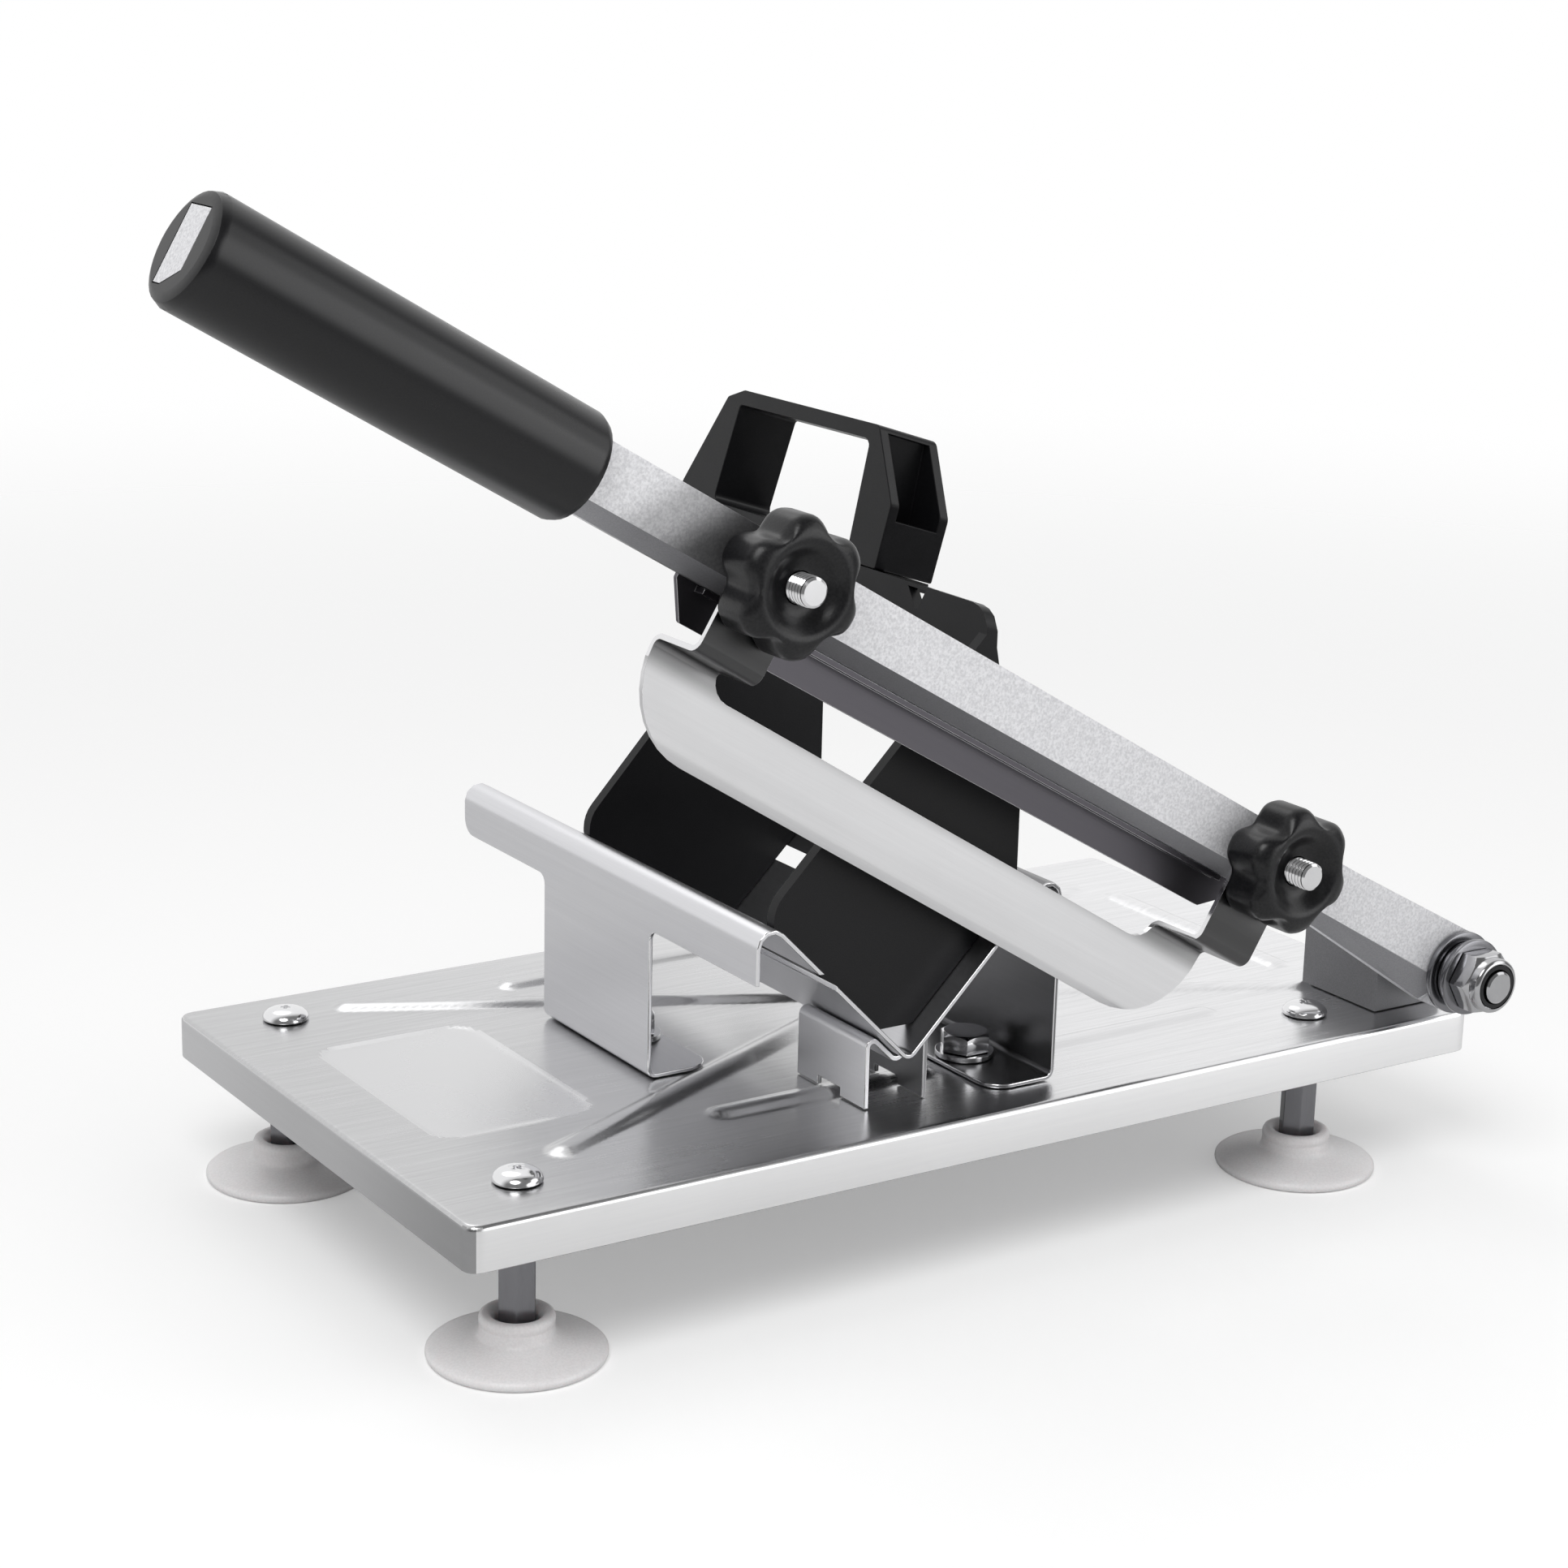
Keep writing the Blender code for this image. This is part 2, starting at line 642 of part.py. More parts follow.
def trough_path():
    """Centre line of the folded sheet, from the left foot round the V to the right foot."""
    half = TROUGH_SHEET / 2.0
    side = TROUGH_HALF_WIDTH - half
    apex = TROUGH_APEX_HEIGHT - half * math.sqrt(2.0)
    foot = SEAT_GAP + half
    return [
        (-TROUGH_HALF_WIDTH + FOOT_FLANGE_WIDTH, foot), (-side, foot), (-side, apex + side),
        (0.0, apex), (side, apex + side), (side, foot), (TROUGH_HALF_WIDTH - FOOT_FLANGE_WIDTH, foot),
    ]


def build_trough(frame, steel):
    path = [(TROUGH_CENTRE_X + x, z) for x, z in trough_path()]
    radii = [FOOT_BEND_RADIUS, FOLD_RADIUS, APEX_RADIUS, FOLD_RADIUS, FOOT_BEND_RADIUS]
    back = TROUGH_FRONT + TROUGH_LENGTH
    profile = sheet_profile(path, radii, TROUGH_SHEET, 4)
    trough = place("trough", prism(profile, TROUGH_FRONT, back, "Y"), steel, frame)

    low = -2.0
    left_x = TROUGH_CENTRE_X - TROUGH_HALF_WIDTH
    right_x = TROUGH_CENTRE_X + TROUGH_HALF_WIDTH
    reach = FOOT_FLANGE_WIDTH + 4.0
    left_leg = (LEFT_LEG_START, LEFT_LEG_START + LEG_WIDTH)
    right_leg = (TROUGH_FRONT, TROUGH_FRONT + LEG_WIDTH)
    outside = 3.0
    front_cut = side_cut(TROUGH_FRONT - outside, left_leg[0], low, TROUGH_FRONT, False)
    back_cut = side_cut(left_leg[1], back + outside, low, back, True)
    right_cut = side_cut(right_leg[1], back + outside, low, back, True)
    left_span = (left_x - outside, left_x + reach)
    right_span = (right_x - reach, right_x + outside)
    tools = [prism(front_cut, *left_span, "X"), prism(back_cut, *left_span, "X"),
             prism(right_cut, *right_span, "X")]
    boolean(trough, cutter("leg_tool", joined(*tools), frame))

    corners = []
    feet = ((left_x + FOOT_FLANGE_WIDTH, 1.0, left_leg), (right_x - FOOT_FLANGE_WIDTH, -1.0, right_leg))
    for inner_x, heading, leg in feet:
        for end, sense in ((leg[0], -1.0), (leg[1], 1.0)):
            corners.append(corner_tool(inner_x, end, heading, sense, FOOT_CORNER))
    holes = [prism(circle(TROUGH_BOLT_RADIUS + HOLE_CLEARANCE, x, y), low, 3.0)
             for x, y in trough_bolt_places()]
    boolean(trough, cutter("foot_corner_tool", joined(*corners, *holes), frame))
    return trough


def side_cut(start, end, low, free_end, at_back):
    """What is cut from a side sheet in front of or behind its leg, seen from the side."""
    top = FLANGE_LOWER
    corner = FLANGE_CORNER
    if at_back:
        fillet = corner_arc(Vector((start, low)), Vector((start, top)), Vector((free_end, top)),
                            LEG_FILLET, 4)
        nose = arc(free_end - corner, top + corner, corner, 270, 360, 5)
        return [(start, low)] + fillet + nose + [(end, top + corner), (end, low)]
    fillet = corner_arc(Vector((free_end, top)), Vector((end, top)), Vector((end, low)), LEG_FILLET, 4)
    return [(start, low), (start, top)] + fillet + [(end, low)]


def corner_tool(x, y, heading, sense, radius):
    """Square corner less a quarter round, for a foot's free corner."""
    extra = 2.0
    cx, cy = x - heading * radius, y - sense * radius
    quarter = []
    for i in range(6):
        angle = math.radians(90.0 * i / 5)
        quarter.append((cx + heading * radius * math.cos(angle), cy + sense * radius * math.sin(angle)))
    past_x, past_y = x + heading * extra, y + sense * extra
    return prism(quarter + [(cx, past_y), (past_x, past_y), (past_x, cy)], -2.0, 3.0)


def build_trough_fixings(frame, steel, bright):
    foot_top = SEAT_GAP + TROUGH_SHEET
    washer_low = foot_top + SEAT_GAP
    head_low = washer_low + TROUGH_WASHER + SEAT_GAP
    nut_high = -BASE_SHEET - SEAT_GAP
    nut_low = nut_high - TROUGH_NUT
    bore = TROUGH_BOLT_RADIUS + HOLE_CLEARANCE
    section = ring_profile(bore, TROUGH_WASHER_RADIUS, washer_low, washer_low + TROUGH_WASHER)
    washer = mesh_data("trough_washer", turned(section, 24), 25.0)
    bolt = mesh_data("trough_bolt", hex_bolt(TROUGH_BOLT_FLATS, TROUGH_BOLT_HEAD, TROUGH_BOLT_RADIUS,
                                             head_low, nut_low - 1.5), 25.0)
    nut = mesh_data("trough_nut", hex_nut(TROUGH_BOLT_FLATS, bore, nut_low, nut_high), 25.0)
    for side, (x, y) in zip(("left", "right"), trough_bolt_places()):
        place("trough_washer_" + side, washer, steel, frame, (x, y, 0.0))
        place("trough_bolt_" + side, bolt, bright, frame, (x, y, 0.0))
        place("trough_nut_" + side, nut, steel, frame, (x, y, 0.0))


def bridge_loop(mesh, lower, upper):
    for i in range(len(lower)):
        j = (i + 1) % len(lower)
        mesh.faces.new((lower[i], lower[j], upper[j], upper[i]))


def hex_between_round(mesh, hex_ring, round_ring):
    """Fills between a hexagon and a 24-point circle on the same level."""
    for i in range(6):
        j = (i + 1) % 6
        span = [round_ring[(4 * i + k) % 24] for k in range(5)]
        mesh.faces.new([hex_ring[i], hex_ring[j]] + span[::-1])


def hex_bolt(flats, head, radius, low, tip):
    """Hexagon head on a round shank that hangs from it."""
    mesh = bmesh.new()
    levels = [("hex", low), ("hex", low + head - 0.7), ("crown", low + head), ("shank", low),
              ("shank", tip + 0.8), ("point", tip)]
    outlines = {"hex": hexagon(flats), "crown": hexagon(flats * 0.88),
                "shank": circle(radius), "point": circle(radius - 0.8)}
    rings = []
    for kind, level in levels:
        rings.append([mesh.verts.new(Vector((x, y, level)) * MM) for x, y in outlines[kind]])
    bridge_loop(mesh, rings[0], rings[1])
    bridge_loop(mesh, rings[1], rings[2])
    mesh.faces.new(rings[2])
    hex_between_round(mesh, rings[0], rings[3])
    bridge_loop(mesh, rings[4], rings[3])
    bridge_loop(mesh, rings[5], rings[4])
    mesh.faces.new(rings[5][::-1])
    bmesh.ops.recalc_face_normals(mesh, faces=mesh.faces[:])
    return mesh


def hex_nut(flats, bore, low, high):
    mesh = bmesh.new()
    hexes, bores = [], []
    for level in (low, high):
        hexes.append([mesh.verts.new(Vector((x, y, level)) * MM) for x, y in hexagon(flats)])
        bores.append([mesh.verts.new(Vector((x, y, level)) * MM) for x, y in circle(bore)])
    bridge_loop(mesh, *hexes)
    bridge_loop(mesh, *bores)
    for hex_ring, round_ring in zip(hexes, bores):
        hex_between_round(mesh, hex_ring, round_ring)
    bmesh.ops.recalc_face_normals(mesh, faces=mesh.faces[:])
    return mesh


def build_saddle(frame, steel):
    half = SADDLE_SHEET / 2.0
    side = SADDLE_HALF_WIDTH - half
    drop = (TROUGH_SHEET + SEAT_GAP + half) * math.sqrt(2.0)
    apex = TROUGH_APEX_HEIGHT - drop
    path = [(-side, SEAT_GAP), (-side, apex + side), (0.0, apex), (side, apex + side), (side, SEAT_GAP)]
    path = [(TROUGH_CENTRE_X + x, z) for x, z in path]
    profile = sheet_profile(path, [SADDLE_FOLD, SADDLE_APEX, SADDLE_FOLD], SADDLE_SHEET, 4)
    back = SADDLE_FRONT + SADDLE_LENGTH
    saddle = place("trough_saddle", prism(profile, SADDLE_FRONT, back, "Y"), steel, frame)
    notch = rectangle(LONG_RIB_FRONT - SADDLE_NOTCH_WIDTH / 2.0, -2.0,
                      LONG_RIB_FRONT + SADDLE_NOTCH_WIDTH / 2.0, SADDLE_NOTCH_HEIGHT)
    span = SADDLE_HALF_WIDTH + 3.0
    tool = prism(notch, TROUGH_CENTRE_X - span, TROUGH_CENTRE_X + span, "X")
    boolean(saddle, cutter("saddle_notch_tool", tool, frame))
    return saddle


def pivot_levels():
    """Y of each piece on the pivot bolt, from the arm's front face outwards."""
    washer = ARM_FRONT - SEAT_GAP
    spring = washer - WASHER_THICKNESS - SEAT_GAP
    outer = spring - SPRING_WASHER_THICKNESS - SEAT_GAP
    nut = outer - OUTER_WASHER_THICKNESS - SEAT_GAP
    nut_end = nut - NUT_HEX_LENGTH - NUT_COLLAR_LENGTH
    return washer, spring, outer, nut, nut_end


def build_pivot(frame, painted, steel, bright, nylon):
    right = BLOCK_LEFT + BLOCK_WIDTH
    back = BLOCK_FRONT + BLOCK_DEPTH
    section = rounded([(BLOCK_LEFT, SEAT_GAP), (right, SEAT_GAP), (right, BLOCK_HEIGHT - BLOCK_CHAMFER),
                       (right - BLOCK_CHAMFER, BLOCK_HEIGHT), (BLOCK_LEFT + BLOCK_CHAMFER, BLOCK_HEIGHT),
                       (BLOCK_LEFT, BLOCK_HEIGHT - BLOCK_CHAMFER)], [0.0, 0.0, 3.0, 3.0, 3.0, 3.0], 3)
    block = place("pivot_block", prism(section, BLOCK_FRONT, back, "Y"), painted, frame)
    bore = prism(circle(PIVOT_BOLT_RADIUS + RUN_CLEARANCE, PIVOT_X, PIVOT_HEIGHT, 40),
                 BLOCK_FRONT - 2.0, back + 2.0, "Y")
    wells = [prism(circle(BLOCK_SCREW_RADIUS + HOLE_CLEARANCE, x, y), -1.0, block_screw_top() + 1.0)
             for x, y in block_screw_places()]
    boolean(block, cutter("pivot_bore_tool", bore, frame))
    boolean(block, cutter("block_screw_tool", joined(*wells), frame))

    under = -BASE_SHEET - SEAT_GAP
    top = block_screw_top()
    r = BLOCK_SCREW_RADIUS
    outline = [(0.0, under - 3.2), (4.2, under - 2.9), (5.6, under - 1.6), (5.8, under),
               (r, under), (r, top - 0.5), (r - 0.5, top), (0.0, top)]
    screw = mesh_data("block_screw", turned(outline, 16), 35.0)
    for side, (x, y) in zip(("front", "back"), block_screw_places()):
        place("block_screw_" + side, screw, steel, frame, (x, y, 0.0))

    washer, spring, outer, nut, nut_end = pivot_levels()
    tip = nut_end - BOLT_TIP
    bolt_back = back + SEAT_GAP
    bolt = hex_bolt(PIVOT_BOLT_FLATS, PIVOT_BOLT_HEAD, PIVOT_BOLT_RADIUS, 0.0, tip - bolt_back)
    bmesh.ops.rotate(bolt, verts=bolt.verts[:], matrix=Matrix.Rotation(math.radians(-90.0), 3, "X"))
    place("pivot_bolt", bolt, bright, frame, (PIVOT_X, bolt_back, PIVOT_HEIGHT), smooth=25.0)

    bore_radius = PIVOT_BOLT_RADIUS + HOLE_CLEARANCE
    arm_back = ARM_FRONT + ARM_THICKNESS
    stack = [
        ("pivot_spacer", SPACER_RADIUS, BLOCK_FRONT - SEAT_GAP, arm_back + SEAT_GAP, steel, 0.4),
        ("pivot_washer_inner", WASHER_RADIUS, washer, washer - WASHER_THICKNESS, steel, 0.0),
        ("pivot_spring_washer", SPRING_WASHER_RADIUS, spring, spring - SPRING_WASHER_THICKNESS, steel, 0.6),
        ("pivot_washer_outer", OUTER_WASHER_RADIUS, outer, outer - OUTER_WASHER_THICKNESS, bright, 0.0),
    ]
    for name, radius, back_y, front_y, material, edge in stack:
        section = ring_profile(bore_radius, radius, 0.0, back_y - front_y, edge)
        spot = (PIVOT_X, back_y, PIVOT_HEIGHT)
        place(name, turned(section, 28, "Y"), material, frame, spot, smooth=25.0)

    hex_end = nut - NUT_HEX_LENGTH
    body = hex_nut(NUT_FLATS, bore_radius, 0.0, NUT_HEX_LENGTH)
    bmesh.ops.rotate(body, verts=body.verts[:], matrix=Matrix.Rotation(math.radians(90.0), 3, "X"))
    nut_obj = place("pivot_nut", body, bright, frame, (PIVOT_X, nut, PIVOT_HEIGHT), smooth=25.0)
    lip = INSERT_RADIUS + SEAT_GAP
    rim = NUT_HEX_LENGTH + NUT_COLLAR_LENGTH
    crown = [(lip, NUT_HEX_LENGTH - 1.0), (NUT_COLLAR_RADIUS, NUT_HEX_LENGTH - 1.0),
             (NUT_COLLAR_RADIUS, rim - 1.0), (NUT_COLLAR_RADIUS - 0.6, rim), (lip, rim)]
    collar = cutter("nut_collar_tool", turned(crown, 28, "Y"), frame, (PIVOT_X, nut, PIVOT_HEIGHT))
    boolean(nut_obj, collar, "UNION")
    insert = ring_profile(bore_radius, INSERT_RADIUS, 0.0, NUT_COLLAR_LENGTH - SEAT_GAP)
    place("nut_insert", turned(insert, 24, "Y"), nylon, frame,
          (PIVOT_X, hex_end - SEAT_GAP, PIVOT_HEIGHT), smooth=25.0)


def block_screw_top():
    """The screws from below end short of the pivot bore."""
    return min(BLOCK_SCREW_LENGTH - BASE_SHEET, PIVOT_HEIGHT - PIVOT_BOLT_RADIUS - BLOCK_SCREW_RADIUS)


def build_arm(arm_frame, bar_paint, grip_plastic):
    low = ARM_TOP - ARM_HEIGHT
    join = -EYE_LEAD
    upper = arc(0, 0, EYE_RADIUS, 90, 0, 8)
    lower = arc(0, 0, EYE_RADIUS, 0, -90, 8)[1:]
    side = [(-ARM_REACH, low), (-ARM_REACH, ARM_TOP), (join, ARM_TOP)] + upper + lower + [(join, low)]
    back = ARM_THICKNESS
    bar = place("arm_bar", prism(side, 0.0, back, "Y"), bar_paint, arm_frame, (0.0, ARM_FRONT, 0.0))
    chamfer = lofted([(-ARM_REACH - 2.0, chamfer_section(low)), (join, chamfer_section(low)),
                      (-2.0, chamfer_section(-EYE_RADIUS))])
    boolean(bar, cutter("arm_chamfer_tool", chamfer, arm_frame, (0.0, ARM_FRONT, 0.0)))
    through = (-2.0, back + 2.0, "Y")
    holes = [prism(circle(PIVOT_BOLT_RADIUS + RUN_CLEARANCE, 0.0, 0.0, 40), *through)]
    for reach in (LEFT_STUD_REACH, RIGHT_STUD_REACH):
        holes.append(prism(circle(STUD_RADIUS + HOLE_CLEARANCE, -reach, STUD_OFFSET), *through))
    boolean(bar, cutter("arm_hole_tool", joined(*holes), arm_frame, (0.0, ARM_FRONT, 0.0)))

    middle_v = ARM_TOP - ARM_HEIGHT / 2.0
    middle_y = ARM_FRONT + ARM_THICKNESS / 2.0
    shoulder = GRIP_RADIUS - GRIP_ROUND
    profile = [(0.0, 0.0), (shoulder, 0.0)]
    profile += [(shoulder + y, GRIP_ROUND - x) for x, y in arc(0, 0, GRIP_ROUND, 0, 90, 2)[1:]]
    far = [(r, GRIP_LENGTH - z) for r, z in profile]
    grip_mesh = turned(profile + far[::-1], 36)
    quarter_turn = Matrix.Rotation(math.radians(90.0), 3, "Y")
    bmesh.ops.rotate(grip_mesh, verts=grip_mesh.verts[:], matrix=quarter_turn)
    spot = (-ARM_REACH, middle_y, middle_v)
    grip = place("grip", grip_mesh, grip_plastic, arm_frame, spot, smooth=40.0)
    g = SEAT_GAP
    slot_back = ARM_FRONT + back + g
    slot = [(ARM_FRONT - g, low + ARM_CHAMFER_HEIGHT - g * 0.6),
            (ARM_FRONT + ARM_CHAMFER_DEPTH - g * 0.6, low - g),
            (slot_back, low - g), (slot_back, ARM_TOP + g), (ARM_FRONT - g, ARM_TOP + g)]
    slot_mesh = prism(slot, -ARM_REACH - 2.0, -ARM_REACH + GRIP_LENGTH + 2.0, "X")
    boolean(grip, cutter("grip_slot_tool", slot_mesh, arm_frame))
    return bar


def chamfer_section(bottom):
    """What is cut from the bar's lower front corner, down to a lower edge at the given height."""
    top = ARM_TOP - ARM_HEIGHT + ARM_CHAMFER_HEIGHT
    slope = ARM_CHAMFER_DEPTH / (top - bottom)
    return [(-1.0, top), (0.0, top), (slope * (top - bottom + 1.0), bottom - 1.0), (-1.0, bottom - 1.0)]


def lofted(sections):
    """Closed body through outlines in YZ at several places along X."""
    mesh = bmesh.new()
    rings = [[mesh.verts.new(Vector((x, y, z)) * MM) for y, z in outline] for x, outline in sections]
    for first, second in zip(rings, rings[1:]):
        bridge_loop(mesh, first, second)
    mesh.faces.new(rings[0][::-1])
    mesh.faces.new(rings[-1])
    bmesh.ops.recalc_face_normals(mesh, faces=mesh.faces[:])
    return mesh


def build_stop_plate(arm_frame, steel):
    front = ARM_FRONT + ARM_THICKNESS + SEAT_GAP
    left, right = -STOP_LEFT_REACH, -STOP_RIGHT_REACH
    knee = STOP_BOTTOM + STOP_CHAMFER_HEIGHT
    outline = rounded([(left, STOP_TOP), (left, knee), (left + STOP_LEFT_CHAMFER, STOP_BOTTOM),
                       (right - STOP_RIGHT_CHAMFER, STOP_BOTTOM), (right, knee), (right, STOP_TOP)],
                      [2.0, 1.0, 1.0, 1.0, 1.0, 2.0], 3)
    plate = place("stop_plate", prism(outline, front, front + STOP_SHEET, "Y"), steel, arm_frame)
    through = (front - 2.0, front + STOP_SHEET + 2.0, "Y")
    holes = [prism(circle(STUD_RADIUS + HOLE_CLEARANCE, -reach, STUD_OFFSET), *through)
             for reach in (LEFT_STUD_REACH, RIGHT_STUD_REACH)]
    bar_low = ARM_TOP - ARM_HEIGHT - SEAT_GAP
    lip = rectangle(ARM_FRONT + ARM_CHAMFER_DEPTH, bar_low - STOP_LIP, front + STOP_SHEET / 2.0, bar_low)
    lip_mesh = prism(lip, left + STOP_LEFT_CHAMFER, right - STOP_RIGHT_CHAMFER, "X")
    boolean(plate, cutter("stop_lip_tool", lip_mesh, arm_frame), "UNION")
    boolean(plate, cutter("stop_hole_tool", joined(*holes), arm_frame))
    return plate


def blade_levels():
    """Front faces of the ears and of the strip."""
    ear_front = ARM_FRONT - SEAT_GAP - BLADE_SHEET
    return ear_front, ear_front + BLADE_STEP


def build_blade(arm_frame, steel):
    ear_front, strip_front = blade_levels()
    half = BLADE_SHEET / 2.0
    span = LEFT_STUD_REACH - RIGHT_STUD_REACH
    tilt = math.radians(BLADE_TILT)
    length = span * math.cos(tilt)
    right_stud_b = span * math.sin(tilt)
    right_top = right_stud_b + EAR_TOP_MARGIN
    path = [(ear_front + half, right_top + 4.0), (ear_front + half, LEDGE_B),
            (strip_front + half, LEDGE_B), (strip_front + half, STRIP_RIGHT_B - 4.0)]
    profile = sheet_profile(path, [BLADE_BEND, BLADE_BEND], BLADE_SHEET, 5)
    left, right = -EAR_WIDTH / 2.0, length + EAR_WIDTH / 2.0
    location = (-LEFT_STUD_REACH, 0.0, STUD_OFFSET)
    rotation = (0.0, tilt, 0.0)
    mesh = prism(profile, left - 2.0, right + 2.0, "X")
    blade = place("blade", mesh, steel, arm_frame, location, rotation)

    inner_left, inner_right = left + EAR_WIDTH, right - EAR_WIDTH
    corners = [(left, STRIP_LEFT_B), (right, STRIP_RIGHT_B), (right, right_top), (inner_right, right_top),
               (inner_right, OPENING_B), (inner_left, OPENING_B), (inner_left, LEFT_EAR_TOP),
               (left, LEFT_EAR_TOP)]
    radii = [STRIP_END_RADIUS] * 2 + [EAR_CORNER] * 2 + [OPENING_RADIUS] * 2 + [EAR_CORNER] * 2
    outline = rounded(corners, radii, [9, 9, 3, 3, 5, 5, 3, 3])
    blank_mesh = prism(outline, ear_front - 5.0, strip_front + BLADE_SHEET + 5.0, "Y")
    blank = cutter("blade_outline_tool", blank_mesh, arm_frame, location, rotation)
    boolean(blade, blank, "INTERSECT")

    through = (ear_front - 2.0, ear_front + BLADE_SHEET + 2.0, "Y")
    holes = [prism(circle(STUD_RADIUS + HOLE_CLEARANCE, a, b), *through)
             for a, b in ((0.0, 0.0), (length, right_stud_b))]
    boolean(blade, cutter("ear_hole_tool", joined(*holes), arm_frame, location, rotation))
    slope = (STRIP_RIGHT_B - STRIP_LEFT_B) / (right - left)
    wedge = grind_wedge(left - 3.0, right + 3.0, strip_front, slope, left)
    boolean(blade, cutter("edge_grind_tool", wedge, arm_frame, location, rotation))
    return blade


def grind_wedge(start, end, strip_front, slope, zero):
    """Sliver taken off the front of the lower edge, which leaves it sharp at the back face."""
    depth = BLADE_SHEET - 0.25
    mesh = bmesh.new()
    rings = []
    for a in (start, end):
        edge = STRIP_LEFT_B + slope * (a - zero)
        section = [(strip_front - 1.0, edge + EDGE_GRIND), (strip_front, edge + EDGE_GRIND),
                   (strip_front + depth, edge), (strip_front + depth, edge - 2.0),
                   (strip_front - 1.0, edge - 2.0)]
        rings.append([mesh.verts.new(Vector((a, y, b)) * MM) for y, b in section])
    bridge_loop(mesh, rings[0], rings[1])
    mesh.faces.new(rings[0][::-1])
    mesh.faces.new(rings[1])
    bmesh.ops.recalc_face_normals(mesh, faces=mesh.faces[:])
    return mesh


def knob_front():
    return ARM_FRONT - SEAT_GAP - BLADE_SHEET - SEAT_GAP


def build_knobs(arm_frame, plastic, bright):
    back = knob_front()
    outline = []
    steps = KNOB_LOBES * 8
    for i in range(steps):
        angle = 2.0 * math.pi * i / steps
        wave = math.cos(KNOB_LOBES * angle)
        radius = KNOB_RADIUS - KNOB_FLUTE * 0.5 * (1.0 - wave + max(0.0, -wave) ** 2)
        outline.append((radius * math.cos(angle), radius * math.sin(angle)))
    bore = STUD_RADIUS + HOLE_CLEARANCE
    well = KNOB_LENGTH - KNOB_DISH_DEPTH
    over = KNOB_LENGTH + 1.2
    dish = [(0.0, -2.0), (bore, -2.0), (bore, well), (KNOB_DISH_RADIUS - 5.0, well),
            (KNOB_DISH_RADIUS - 1.6, KNOB_LENGTH - 1.8), (KNOB_DISH_RADIUS, KNOB_LENGTH),
            (KNOB_DISH_RADIUS + 0.8, over), (0.0, over)]
    head_back = ARM_FRONT + ARM_THICKNESS + SEAT_GAP + STOP_SHEET + SEAT_GAP
    length = head_back - (back - KNOB_LENGTH - STUD_TIP)
    stud_profile = [(0.0, -STUD_HEAD), (STUD_HEAD_RADIUS - 1.5, -STUD_HEAD), (STUD_HEAD_RADIUS, -0.8),
                    (STUD_HEAD_RADIUS, 0.0), (STUD_RADIUS, 0.0), (STUD_RADIUS, length - 0.9),
                    (STUD_RADIUS - 0.9, length), (0.0, length)]
    stud = mesh_data("stud", turned(stud_profile, 24, "Y"), 30.0)
    sides = (("left", LEFT_STUD_REACH, KNOB_LEFT_TURN), ("right", RIGHT_STUD_REACH, KNOB_RIGHT_TURN))
    for name, reach, turn in sides:
        spot = (-reach, back, STUD_OFFSET)
        rotation = (0.0, math.radians(turn), 0.0)
        body = lobed_body(outline, KNOB_LENGTH)
        knob = place("knob_" + name, body, plastic, arm_frame, spot, rotation, smooth=40.0)
        boolean(knob, cutter("knob_bore_tool_" + name, turned(dish, 26, "Y"), arm_frame, spot, rotation))
        place("stud_" + name, stud, bright, arm_frame, (-reach, head_back, STUD_OFFSET))


def lobed_body(outline, length):
    """Lobed grip, its two end edges rounded over, along -Y."""
    levels = [(0.95, 0.0), (1.0, 1.6), (1.0, length - KNOB_EDGE), (0.96, length - 1.0), (0.87, length)]
    mesh = bmesh.new()
    rings = []
    for scale, level in levels:
        rings.append([mesh.verts.new(Vector((x * scale, -level, z * scale)) * MM) for x, z in outline])
    for lower, upper in zip(rings, rings[1:]):
        bridge_loop(mesh, lower, upper)
    mesh.faces.new(rings[0])
    mesh.faces.new(rings[-1][::-1])
    bmesh.ops.recalc_face_normals(mesh, faces=mesh.faces[:])
    return mesh


def fin_outline(left_peak, right_peak, top, fall):
    """Plate across the V: it stands on both walls and narrows up to the spine on the right."""
    gap = SEAT_GAP * math.sqrt(2.0)
    apex = TROUGH_APEX_HEIGHT + gap
    reach = FIN_SHOULDER - apex
    blunt = 6.0
    left = TROUGH_CENTRE_X - reach
    right = TROUGH_CENTRE_X + reach
    return rounded([
        (TROUGH_CENTRE_X - blunt, apex + blunt), (TROUGH_CENTRE_X + blunt, apex + blunt),
        (right, FIN_SHOULDER), (right, DECK_HEIGHT - FIN_NECK - FIN_SLOPE),
        (right_peak + 2.0, DECK_HEIGHT - FIN_NECK),
        (right_peak, top - fall), (left_peak, top), (left, FIN_SHOULDER + 6.0), (left, FIN_SHOULDER),
    ], [2.0, 2.0, 3.0, 10.0, 4.0, 0.0, 0.0, 10.0, 3.0], 4)


def leaning(outline, start, end):
    """Body of a YZ outline between two X places; it falls towards the far side as the handle does."""
    slope = HANDLE_FALL / HANDLE_THICKNESS
    near = TROUGH_CENTRE_X + PUSHER_OFFSET
    return lofted([(x, shifted(outline, 0.0, -slope * (x - near))) for x in (start, end)])


